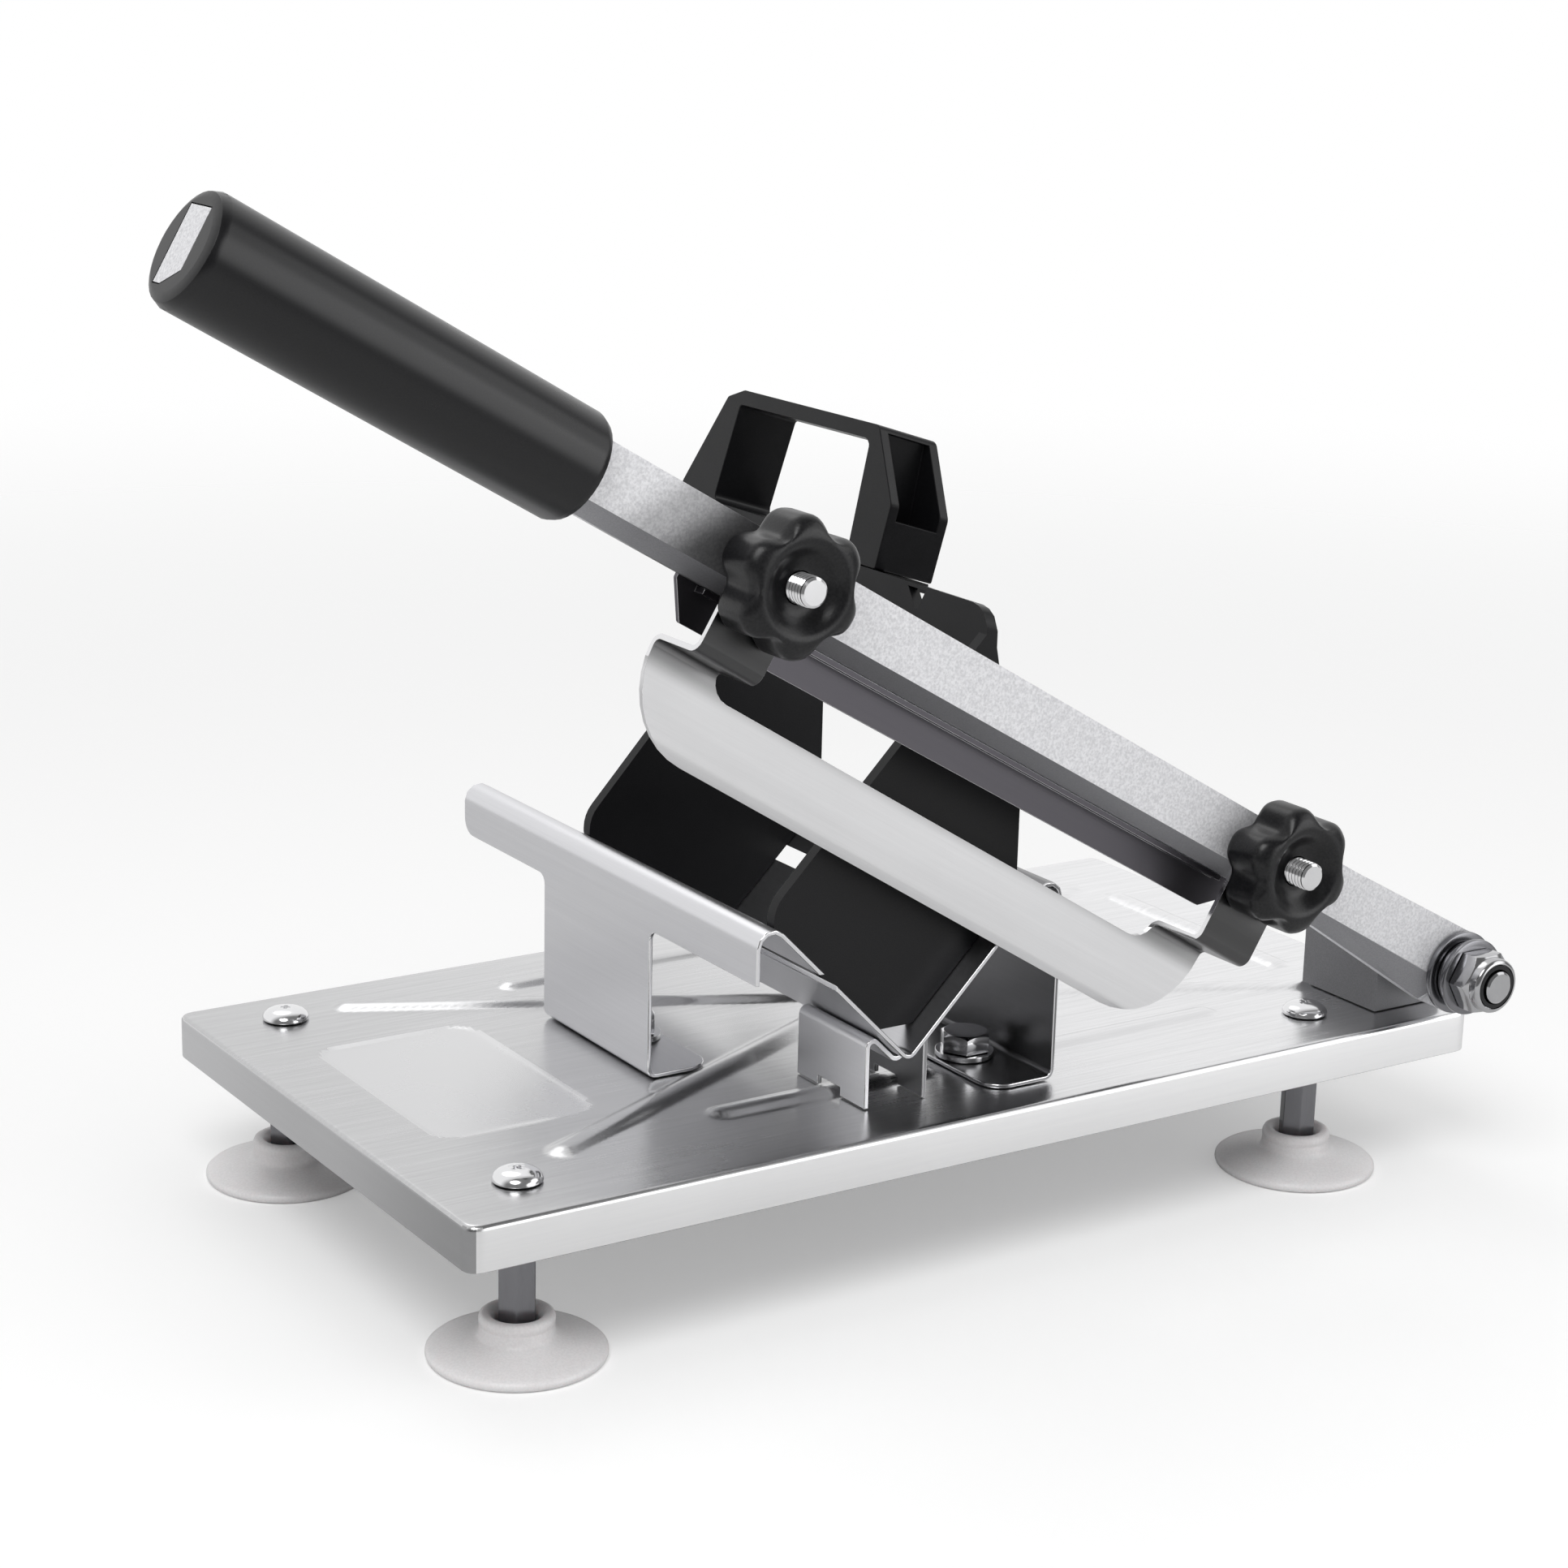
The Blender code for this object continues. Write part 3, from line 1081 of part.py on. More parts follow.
def build_pusher(frame, plastic):
    origin = Vector((TROUGH_CENTRE_X, FRONT_FIN_START, TROUGH_APEX_HEIGHT))
    slide = empty("pusher_slide", frame, origin)

    def at_slide(mesh):
        bmesh.ops.translate(mesh, verts=mesh.verts[:], vec=-origin * MM)
        return mesh

    top = DECK_HEIGHT
    near = TROUGH_CENTRE_X + PUSHER_OFFSET
    far = near + HANDLE_THICKNESS
    web = near + PUSHER_WALL
    front = FRONT_FIN_START
    back = REAR_FIN_START + PUSHER_WALL
    low = top - SPINE_HEIGHT
    side = [(front, low), (back, low), (back, top), (front + SPINE_NOSE + 1.0, top),
            (front + SPINE_NOSE * 0.7, top - 0.6), (front + SPINE_NOSE * 0.3, top - 2.2),
            (front, top - SPINE_NOSE)]
    carriage = place("pusher_plate", at_slide(leaning(side, near, far)), plastic, slide)
    deck_front = HANDLE_FRONT + 1.5
    deck_low = top - DECK_THICKNESS
    around_deck = [(front - 5.0, low - 9.0), (back + 5.0, low - 9.0), (back + 5.0, deck_low),
                   (deck_front, deck_low), (deck_front, top + 5.0), (front - 5.0, top + 5.0)]
    waste = at_slide(leaning(around_deck, web, far + 5.0))
    boolean(carriage, cutter("deck_shape_tool", waste, slide))

    web_fall = HANDLE_FALL * PUSHER_WALL / HANDLE_THICKNESS
    left_peak, right_peak = near + PUSHER_WALL * 0.2, web - PUSHER_WALL * 0.2
    front_outline = fin_outline(left_peak, right_peak, top - SPINE_NOSE - 1.0, web_fall)
    front_fin = at_slide(prism(front_outline, front, front + PUSHER_WALL, "Y"))
    boolean(carriage, cutter("front_fin_tool", front_fin, slide), "UNION")
    rear_outline = fin_outline(left_peak, right_peak, top - DECK_THICKNESS / 2.0, web_fall)
    rear_fin = at_slide(prism(rear_outline, REAR_FIN_START, back, "Y"))
    boolean(carriage, cutter("rear_fin_tool", rear_fin, slide), "UNION")
    high = top - WINDOW_EDGE
    window_front = front + WINDOW_START
    window = [(window_front, high), (window_front + WINDOW_WIDTH, high),
              (window_front + WINDOW_WIDTH / 2.0, high - WINDOW_DROP)]
    window_mesh = at_slide(leaning(window, near - 2.0, web + 2.0))
    boolean(carriage, cutter("spine_window_tool", window_mesh, slide))

    base = top + SEAT_GAP
    crest = base + HANDLE_HEIGHT
    outer = rounded([(HANDLE_FRONT, base), (HANDLE_BACK, base), (HANDLE_BACK - 6.0, base + 9.0),
                     (HANDLE_TOP_BACK + 9.0, crest - 3.0), (HANDLE_TOP_BACK, crest), (HANDLE_FRONT, crest),
                     (HANDLE_FRONT - HANDLE_BULGE, base + HANDLE_HEIGHT * 0.48)],
                    [1.0, 1.0, 4.0, 3.0, 3.0, 2.0, 2.5], 3)
    handle = place("pusher_handle", at_slide(leaning(outer, near, far)), plastic, slide)
    roof = crest - HANDLE_TOP_WALL
    foot = base + HANDLE_FOOT
    inner = rounded([(HANDLE_FRONT + HANDLE_LEG, foot), (HANDLE_BACK - HANDLE_BACK_LEG, foot),
                     (HANDLE_TOP_BACK + 2.0, roof), (HANDLE_FRONT + HANDLE_LEG_TOP, roof)], 2.0, 3)
    opening = at_slide(leaning(inner, near - 2.0, far + 2.0))
    boolean(handle, cutter("handle_opening_tool", opening, slide))
    outside = HANDLE_FRONT - HANDLE_BULGE - 2.0
    pocket_floor = base + HANDLE_HEIGHT * POCKET_START
    pocket_roof = crest - POCKET_ROOF
    lean = (HANDLE_LEG - HANDLE_LEG_TOP) / (roof - foot)
    deep = HANDLE_FRONT + HANDLE_LEG - POCKET_SKIN - lean * (pocket_floor - foot)
    shallow = HANDLE_FRONT + HANDLE_LEG_TOP - POCKET_SKIN
    section = [(outside, pocket_floor), (deep, pocket_floor), (shallow, pocket_roof), (outside, pocket_roof)]
    pocket = leaning(section, near + POCKET_WALL, far - POCKET_WALL)
    boolean(handle, cutter("handle_pocket_tool", at_slide(pocket), slide))


def stand_on_floor(frame):
    """Puts the middle of the bounding box over the origin and the cups on the ground plane."""
    bpy.context.view_layer.update()
    low = Vector((1e9, 1e9, 1e9))
    high = -low
    for obj in bpy.data.objects:
        if obj.type != "MESH" or obj.hide_render:
            continue
        for vertex in obj.data.vertices:
            point = obj.matrix_world @ vertex.co
            low = Vector(map(min, low, point))
            high = Vector(map(max, high, point))
    frame.location = Vector((-(low.x + high.x) / 2.0, -(low.y + high.y) / 2.0, STAND_HEIGHT * MM))
    bpy.context.view_layer.update()


def main():
    clear_scene()
    brushed = make_material("brushed_stainless", (0.62, 0.62, 0.63), 0.32, 1.0)
    bright = make_material("bright_steel", (0.78, 0.78, 0.79), 0.16, 1.0)
    plain = make_material("plain_steel", (0.52, 0.52, 0.54), 0.38, 1.0)
    painted = make_material("silver_texture_paint", (0.60, 0.60, 0.62), 0.45, 0.4)
    rubber = make_material("pale_rubber", (0.66, 0.64, 0.64), 0.45, 0.0)
    grip = make_material("grip_plastic", (0.012, 0.012, 0.013), 0.35, 0.0)
    black = make_material("black_plastic", (0.014, 0.014, 0.015), 0.42, 0.0)
    nylon = make_material("nylon", (0.05, 0.05, 0.055), 0.5, 0.0)

    frame = empty("slicer_frame")
    build_base(frame, brushed)
    build_feet(frame, rubber, plain, bright)
    build_trough(frame, brushed)
    build_trough_fixings(frame, plain, bright)
    build_saddle(frame, brushed)
    build_pivot(frame, painted, plain, bright, nylon)
    arm_turn = (0.0, math.radians(ARM_ANGLE), 0.0)
    arm_frame = empty("arm_frame", frame, (PIVOT_X, 0.0, PIVOT_HEIGHT), arm_turn)
    build_arm(arm_frame, painted, grip)
    build_stop_plate(arm_frame, plain)
    build_blade(arm_frame, brushed)
    build_knobs(arm_frame, black, bright)
    build_pusher(frame, black)
    stand_on_floor(frame)
    print("frame offset", [round(v, 6) for v in frame.location])


main()
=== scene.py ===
import math

import bpy
from mathutils import Matrix, Vector


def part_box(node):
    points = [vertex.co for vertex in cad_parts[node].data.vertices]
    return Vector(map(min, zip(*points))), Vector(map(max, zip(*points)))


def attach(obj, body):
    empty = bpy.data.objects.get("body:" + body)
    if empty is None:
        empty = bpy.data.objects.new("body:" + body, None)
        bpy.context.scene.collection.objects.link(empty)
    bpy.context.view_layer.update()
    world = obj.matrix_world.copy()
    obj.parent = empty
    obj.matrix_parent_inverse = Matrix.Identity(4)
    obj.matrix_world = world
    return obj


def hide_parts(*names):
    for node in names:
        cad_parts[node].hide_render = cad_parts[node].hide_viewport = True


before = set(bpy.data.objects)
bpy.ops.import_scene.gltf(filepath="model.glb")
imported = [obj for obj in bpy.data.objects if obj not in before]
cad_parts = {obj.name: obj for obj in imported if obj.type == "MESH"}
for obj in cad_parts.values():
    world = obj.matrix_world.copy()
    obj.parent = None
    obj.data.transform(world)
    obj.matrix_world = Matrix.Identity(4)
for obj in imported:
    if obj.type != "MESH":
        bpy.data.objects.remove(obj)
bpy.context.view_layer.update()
print("frame loaded:", len(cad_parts), "nodes")

mm = 0.001


def nodeBox(node):
    # the low corner, the high corner and the middle of a frame node's box
    low, high = [Vector(point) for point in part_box(node)]
    return low, high, (low + high) / 2


baseTop = 48.5  # height of the base's top face, mm
baseLow = nodeBox("base_plate")[0]
corner = Vector((baseLow.x, baseLow.y, baseTop * mm))  # front left corner of the base's top face

# angles are in degrees below the level, the pivot's place is from the corner
arm = {"angle": 29.8, "bladeAngle": 31.15, "pivot": (326.4, 0.0, 16.3)}
pivotPlace = corner + Vector(arm["pivot"]) * mm


def pointing(turn):
    # direction in the arm's upright plane: 0 is to the right, 90 is down
    return Vector((math.cos(math.radians(turn)), 0, -math.sin(math.radians(turn))))


def clearSelection():
    if bpy.context.object and bpy.context.object.mode != "OBJECT":
        bpy.ops.object.mode_set(mode="OBJECT")
    bpy.ops.object.select_all(action="DESELECT")


def pick(piece):
    clearSelection()
    piece.select_set(True)
    bpy.context.view_layer.objects.active = piece


def applyPlace():
    bpy.ops.object.transform_apply(location=True, rotation=True, scale=True)


def useModifier(piece, kind, **settings):
    pick(piece)
    modifier = piece.modifiers.new(kind.title(), kind)
    for name, value in settings.items():
        setattr(modifier, name, value)
    bpy.ops.object.modifier_apply(modifier=modifier.name)


def breakEdges(piece, width, sharperThan, **settings):
    useModifier(piece, "BEVEL", width=width * mm, segments=2, limit_method="ANGLE",
                angle_limit=math.radians(sharperThan), **settings)


def cutWith(piece, tool, operation="DIFFERENCE"):
    useModifier(piece, "BOOLEAN", object=tool, operation=operation, solver="EXACT")
    bpy.data.objects.remove(tool, do_unlink=True)


def joinPieces(first, other):
    pick(first)
    other.select_set(True)
    bpy.ops.object.join()
    return first


def selectVertices(piece, test):
    # selects, in edit mode, the vertices that pass the test
    bpy.ops.object.mode_set(mode="OBJECT")
    for vertex in piece.data.vertices:
        vertex.select = test(vertex)
    bpy.ops.object.mode_set(mode="EDIT")


def turnPiece(name, rings, sides):
    # a solid drawn out ring by ring along Z; rings are (radius, height) in mm
    clearSelection()
    radius, height = rings[0]
    start = (0, 0, height * mm)
    bpy.ops.mesh.primitive_circle_add(vertices=sides, radius=radius * mm, location=start)
    piece = bpy.context.object
    piece.name = name
    applyPlace()
    bpy.ops.object.mode_set(mode="EDIT")
    bpy.ops.mesh.select_all(action="SELECT")
    for nextRadius, nextHeight in rings[1:]:
        rise = (0, 0, (nextHeight - height) * mm)
        bpy.ops.mesh.extrude_edges_move(TRANSFORM_OT_translate={"value": rise})
        scale = nextRadius / radius
        middle = (0, 0, nextHeight * mm)
        bpy.ops.transform.resize(value=(scale, scale, 1), center_override=middle)
        radius, height = nextRadius, nextHeight
    bpy.ops.mesh.edge_face_add()
    selectVertices(piece, lambda vertex: vertex.index < sides)
    bpy.ops.mesh.edge_face_add()
    bpy.ops.mesh.select_all(action="SELECT")
    bpy.ops.mesh.normals_make_consistent(inside=False)
    bpy.ops.object.mode_set(mode="OBJECT")
    return piece


def drillPiece(piece, radius, top, sides):
    # a straight hole along Z, from below the piece to above its top
    past = 2.0
    cutWith(piece, turnPiece("bore", [(radius, -past), (radius, top + past)], sides))


def spinPiece(piece, degrees):
    # turns a piece about the Z axis, in its mesh
    pick(piece)
    piece.rotation_euler = (0, 0, math.radians(degrees))
    applyPlace()


def movePiece(piece, place, towards=(0, 0, 1)):
    # stands a piece that was made along Z at its place, pointing another way, in its mesh
    pick(piece)
    turn = Vector((0, 0, 1)).rotation_difference(Vector(towards))
    piece.matrix_world = Matrix.Translation(place) @ turn.to_matrix().to_4x4()
    applyPlace()


def copyPiece(piece, name):
    pick(piece)
    bpy.ops.object.duplicate()
    copy = bpy.context.object
    copy.name = name
    return copy


def smoothPiece(piece, angle):
    # shades smoothly across every edge that turns by less than the angle
    pick(piece)
    bpy.ops.object.shade_smooth_by_angle(angle=math.radians(angle))


def finishPiece(piece, body, node, looks):
    # gives a shaped piece its finishes and its body, and hides the node it stands for
    pick(piece)
    applyPlace()
    if not piece.data.materials:
        for look in looks:
            piece.data.materials.append(finishes[look])
    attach(piece, body)
    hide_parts(node)


def softenNode(node, body, looks, edge, smooth=40):
    # the frame's own shape with its edges broken, so that they catch the light;
    # the edges get the last of the looks
    clearSelection()
    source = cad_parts[node]
    piece = source.copy()
    piece.data = source.data.copy()
    piece.name = node + "_dressed"
    bpy.context.scene.collection.objects.link(piece)
    for key in [key for key in piece.keys() if key.startswith("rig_")]:
        del piece[key]
    piece.parent = None
    piece.matrix_world = Matrix.Identity(4)
    piece.data.materials.clear()
    pick(piece)
    bpy.ops.object.mode_set(mode="EDIT")
    bpy.ops.mesh.select_all(action="SELECT")
    bpy.ops.mesh.remove_doubles(threshold=0.005 * mm)
    bpy.ops.mesh.dissolve_limited(angle_limit=math.radians(0.6))
    bpy.ops.object.mode_set(mode="OBJECT")
    for look in looks:
        piece.data.materials.append(finishes[look])
    breakEdges(piece, edge, 38, use_clamp_overlap=True, material=len(looks) - 1)
    smoothPiece(piece, smooth)
    useModifier(piece, "WEIGHTED_NORMAL", keep_sharp=True, weight=80)
    finishPiece(piece, body, node, looks)
    return piece


def feed(tree, node, links):
    # gives each input, by its name or number, the output of another node or a plain value
    for socket, value in links.items():
        if isinstance(value, bpy.types.NodeSocket):
            tree.links.new(value, node.inputs[socket])
        else:
            node.inputs[socket].default_value = value


def addNode(tree, kind, links, **settings):
    node = tree.nodes.new(kind)
    for name, value in settings.items():
        setattr(node, name, value)
    feed(tree, node, links)
    return node


def useGroup(tree, group, links):
    return addNode(tree, "ShaderNodeGroup", links, node_tree=group)


def newGroup(name, inputs, outputs):
    # an input's value is its default; a vector has none
    group = bpy.data.node_groups.new(name, "ShaderNodeTree")
    for socket, value in inputs.items():
        kind = "NodeSocketVector" if value is None else "NodeSocketFloat"
        made = group.interface.new_socket(name=socket, in_out="INPUT", socket_type=kind)
        if value is not None:
            made.default_value = value
    for socket in outputs:
        group.interface.new_socket(name=socket, in_out="OUTPUT", socket_type="NodeSocketFloat")
    start = group.nodes.new("NodeGroupInput").outputs
    return group, start, group.nodes.new("NodeGroupOutput")


def brushedGroup():
    # fine lines drawn out along the vector's X, at two widths
    inputs = {"Vector": None, "Line scale": 2400.0, "Contrast": 0.5}
    group, start, end = newGroup("Brushed lines", inputs, ["Lines", "Height"])
    fine = addNode(group, "ShaderNodeTexNoise", {
        "Vector": start["Vector"], "Scale": start["Line scale"], "Detail": 3.0, "Roughness": 0.6})
    wide = addNode(group, "ShaderNodeMath", {0: start["Line scale"], 1: 0.22},
                   operation="MULTIPLY")
    coarse = addNode(group, "ShaderNodeTexNoise", {
        "Vector": start["Vector"], "Scale": wide.outputs[0], "Detail": 2.0})
    both = addNode(group, "ShaderNodeMath", {0: fine.outputs["Fac"], 1: coarse.outputs["Fac"]},
                   operation="ADD")
    centred = addNode(group, "ShaderNodeMath", {0: both.outputs[0], 1: -1.0}, operation="ADD")
    scaled = addNode(group, "ShaderNodeMath", {0: centred.outputs[0], 1: start["Contrast"], 2: 0.5},
                     operation="MULTIPLY_ADD", use_clamp=True)
    feed(group, end, {"Lines": scaled.outputs[0], "Height": fine.outputs["Fac"]})
    return group


def smudgeGroup():
    # slow patches, as handling and wiping leave on a surface
    group, start, end = newGroup("Handling marks", {"Vector": None, "Size": 30.0}, ["Patches"])
    broad = addNode(group, "ShaderNodeTexNoise", {
        "Vector": start["Vector"], "Scale": start["Size"],
        "Detail": 5.0, "Roughness": 0.55, "Distortion": 0.4})
    level = addNode(group, "ShaderNodeMapRange", {
        "Value": broad.outputs["Fac"], "From Min": 0.32, "From Max": 0.68})
    feed(group, end, {"Patches": level.outputs["Result"]})
    return group


def grainGroup():
    # moulded or sprayed grain: small cells and finer noise
    inputs = {"Vector": None, "Grain scale": 1800.0}
    group, start, end = newGroup("Surface grain", inputs, ["Grain", "Specks"])
    cells = addNode(group, "ShaderNodeTexVoronoi", {
        "Vector": start["Vector"], "Scale": start["Grain scale"]})
    noise = addNode(group, "ShaderNodeTexNoise", {
        "Vector": start["Vector"], "Scale": start["Grain scale"], "Detail": 4.0})
    mixed = addNode(group, "ShaderNodeMath", {0: cells.outputs["Distance"], 1: noise.outputs["Fac"]},
                    operation="MULTIPLY")
    specks = addNode(group, "ShaderNodeMapRange", {
        "Value": noise.outputs["Fac"], "From Min": 0.35, "From Max": 0.65})
    feed(group, end, {"Grain": mixed.outputs[0], "Specks": specks.outputs["Result"]})
    return group


def lineGroup():
    # how far a place lies along a line, from 0 at one end of a stretch to 1 at the other
    inputs = {"Vector": None, "Origin": None, "Direction": None, "From": 0.0, "To": 1.0}
    group, start, end = newGroup("Place along a line", inputs, ["Place"])
    away = addNode(group, "ShaderNodeVectorMath", {0: start["Vector"], 1: start["Origin"]},
                   operation="SUBTRACT")
    along = addNode(group, "ShaderNodeVectorMath", {0: away.outputs["Vector"], 1: start["Direction"]},
                    operation="DOT_PRODUCT")
    level = addNode(group, "ShaderNodeMapRange", {
        "Value": along.outputs["Value"], "From Min": start["From"], "From Max": start["To"]})
    feed(group, end, {"Place": level.outputs["Result"]})
    return group


brushedLines = brushedGroup()
handlingMarks = smudgeGroup()
surfaceGrain = grainGroup()
placeAlong = lineGroup()


def mixColours(tree, share, first, second, blend="MIX"):
    mix = addNode(tree, "ShaderNodeMix", {}, data_type="RGBA", blend_type=blend)
    feed(tree, mix, {"Factor": share, "A": first, "B": second})
    return mix.outputs["Result"]


def shadeColour(tree, place, colour, paintedShades):
    # each painted shade stands in for shade and reflection in the colour: a direction and its stops:
    # (mm from the pivot along it, how much of the colour is left there)
    for direction, stops in paintedShades:
        first, last = stops[0][0], stops[-1][0]
        along = useGroup(tree, placeAlong, {
            "Vector": place, "Origin": pivotPlace, "Direction": direction,
            "From": first * mm, "To": last * mm})
        ramp = addNode(tree, "ShaderNodeValToRGB", {"Fac": along.outputs["Place"]})
        ramp.color_ramp.interpolation = "EASE"
        elements = ramp.color_ramp.elements
        for at, left in stops[1:-1]:
            elements.new((at - first) / (last - first))
        for element, (at, left) in zip(elements, stops):
            element.color = (left, left, left, 1)
        colour = mixColours(tree, 1.0, colour, ramp.outputs["Color"], "MULTIPLY")
    return colour


def startFinish(name, look):
    finish = bpy.data.materials.new(name)
    finish.use_nodes = True
    tree = finish.node_tree
    place = tree.nodes.new("ShaderNodeTexCoord").outputs["Object"]
    marks = useGroup(tree, handlingMarks, {"Vector": place, "Size": look["markSize"]})
    return finish, tree, place, marks.outputs["Patches"]


def feedShader(tree, place, look, pattern, height, relief, amount):
    # the pattern mixes the two colours, the height makes the bump, the amount the roughness
    colour = mixColours(tree, pattern, (*look["dark"], 1.0), (*look["light"], 1.0))
    smoothest, roughest = look["rough"]
    rough = addNode(tree, "ShaderNodeMapRange", {
        "Value": amount, "To Min": smoothest, "To Max": roughest})
    bump = addNode(tree, "ShaderNodeBump", {
        "Height": height, "Strength": look["bump"], "Distance": relief * mm})
    shader = tree.nodes["Principled BSDF"]
    feed(tree, shader, {
        "Base Color": shadeColour(tree, place, colour, look.get("paintedShades", [])),
        "Roughness": rough.outputs["Result"], "Normal": bump.outputs["Normal"]})
    return shader


def steelFinish(name, look):
    # sheet or bar steel with brushed lines along one direction
    finish, tree, place, marks = startFinish(name, look)
    turn = [math.radians(angle) for angle in look["turn"]]
    along = addNode(tree, "ShaderNodeMapping", {
        "Vector": place, "Rotation": turn, "Scale": look["stretch"]}, vector_type="TEXTURE")
    brushed = useGroup(tree, brushedLines, {
        "Vector": along.outputs["Vector"], "Line scale": look["lineScale"],
        "Contrast": look["contrast"]})
    lines, height = brushed.outputs["Lines"], brushed.outputs["Height"]
    half = addNode(tree, "ShaderNodeMath", {0: lines, 1: 0.5}, operation="MULTIPLY")
    both = addNode(tree, "ShaderNodeMath", {0: marks, 1: 0.5, 2: half.outputs[0]},
                   operation="MULTIPLY_ADD")
    shader = feedShader(tree, place, look, lines, height, lineRelief, both.outputs[0])
    feed(tree, shader, {"Metallic": 1.0})
    return finish


def grainFinish(name, look):
    # moulded plastic, rubber or sprayed paint
    finish, tree, place, marks = startFinish(name, look)
    grain = useGroup(tree, surfaceGrain, {"Vector": place, "Grain scale": look["grainScale"]})
    specks, height = grain.outputs["Specks"], grain.outputs["Grain"]
    shader = feedShader(tree, place, look, specks, height, look["relief"], marks)
    feed(tree, shader, {
        "Metallic": look.get("metallic", 0.0), "Specular IOR Level": look.get("shine", 0.5)})
    if "subsurface" in look:
        feed(tree, shader, {
            "Subsurface Weight": look["subsurface"], "Subsurface Scale": 1.0,
            "Subsurface Radius": [reach * mm for reach in look["scatter"]]})
    return finish


# Looks of brushed steel: turn is in degrees, stretch draws the lines out along an axis,
# dark and light are the two ends of the lines' colour, rough those of the roughness.
lineRelief = 0.05  # height of a brushed line, mm
lineLooks = {
    "baseSteel": {
        "turn": (0, 0, 0), "stretch": (45, 1, 1), "lineScale": 3600, "contrast": 0.8,
        "markSize": 22, "dark": (0.72, 0.72, 0.73), "light": (0.92, 0.92, 0.93),
        "rough": (0.22, 0.30), "bump": 0.05,
        # painted shade: the top darker towards the left end
        "paintedShades": [(pointing(0), [(-330, 0.66), (-200, 0.76), (-90, 0.94), (10, 1.0)])]},
    "panelSteel": {
        "turn": (0, 0, 0), "stretch": (20, 1, 1), "lineScale": 1800, "contrast": 0.15,
        "markSize": 14, "dark": (0.90, 0.90, 0.91), "light": (0.98, 0.98, 0.99),
        "rough": (0.24, 0.32), "bump": 0.02,
        # painted shade: darker towards the left end, as on the top
        "paintedShades": [(pointing(0), [(-330, 0.68), (-200, 0.78)])]},
    # painted light: the skirt's steel lighter than the top's, and a little darker towards the left end
    "litSkirtSteel": {
        "turn": (0, 0, 0), "stretch": (45, 1, 1), "lineScale": 3600, "contrast": 0.5,
        "markSize": 22, "dark": (0.90, 0.90, 0.91), "light": (0.99, 0.99, 0.99),
        "rough": (0.30, 0.36), "bump": 0.04,
        "paintedShades": [(pointing(0), [(-330, 0.88), (10, 1.0)])]},
    # painted shade: the left end's steel darker than the skirt's, and darker still towards the front
    "shadedSideSteel": {
        "turn": (0, 0, 90), "stretch": (45, 1, 1), "lineScale": 3600, "contrast": 0.5,
        "markSize": 22, "dark": (0.60, 0.60, 0.61), "light": (0.68, 0.68, 0.69),
        "rough": (0.26, 0.34), "bump": 0.04,
        "paintedShades": [(Vector((0, 1, 0)), [(0, 0.52), (90, 0.82), (184, 1.0)])]},
    "troughSteel": {
        "turn": (0, 0, 90), "stretch": (60, 1, 1), "lineScale": 3400, "contrast": 0.5,
        "markSize": 30, "dark": (0.63, 0.63, 0.65), "light": (0.76, 0.76, 0.78),
        "rough": (0.28, 0.34), "bump": 0.04,
        # painted shade: the trough darker from its right leg on
        "paintedShades": [(pointing(0), [(-163, 1.0), (-147, 0.28)])]},
    # painted light and shade: lighter than the trough's steel, against the dark base it mirrors, and
    # darker over the right wall
    "saddleSteel": {
        "turn": (0, 0, 90), "stretch": (60, 1, 1), "lineScale": 3400, "contrast": 0.4,
        "markSize": 30, "dark": (0.84, 0.84, 0.86), "light": (0.94, 0.94, 0.96),
        "rough": (0.44, 0.50), "bump": 0.03,
        "paintedShades": [(pointing(0), [(-186, 1.0), (-172, 0.25)])]},
    "bladeSteel": {
        "turn": (0, arm["bladeAngle"], 0), "stretch": (70, 1, 1), "lineScale": 3600,
        "contrast": 0.6, "markSize": 34, "dark": (0.76, 0.76, 0.77), "light": (0.87, 0.87, 0.88),
        "rough": (0.26, 0.34), "bump": 0.05,
        # painted shade: darker towards the left end, and dark from the strip's top edge up over the
        # joggle and the ears
        "paintedShades": [
            (pointing(arm["bladeAngle"]), [(-330, 0.80), (-70, 1.0)]),
            (pointing(arm["bladeAngle"] - 90), [(-40, 1.0), (-34.5, 0.50), (-31, 0.13), (-25, 0.10),
                                                (-16, 0.16), (-8, 0.08)])]},
    "darkSteel": {
        "turn": (0, arm["angle"], 0), "stretch": (50, 1, 1), "lineScale": 2600, "contrast": 0.3,
        "markSize": 24, "dark": (0.105, 0.10, 0.112), "light": (0.13, 0.125, 0.138),
        "rough": (0.36, 0.44), "bump": 0.03},
    "brightSteelAndHighlight": {
        "turn": (0, 0, 0), "stretch": (1, 1, 12), "lineScale": 2200, "contrast": 0.25,
        "markSize": 60, "dark": (0.74, 0.74, 0.75), "light": (0.84, 0.84, 0.85),
        "rough": (0.12, 0.18), "bump": 0.02},
    "nutSteel": {
        "turn": (0, 0, 0), "stretch": (1, 6, 1), "lineScale": 2200, "contrast": 0.4,
        "markSize": 60, "dark": (0.42, 0.42, 0.43), "light": (0.54, 0.54, 0.55),
        "rough": (0.10, 0.16), "bump": 0.03},
    "plainSteel": {
        "turn": (0, 0, 0), "stretch": (1, 1, 6), "lineScale": 2200, "contrast": 0.4,
        "markSize": 50, "dark": (0.17, 0.17, 0.18), "light": (0.27, 0.27, 0.285),
        "rough": (0.20, 0.30), "bump": 0.03},
}

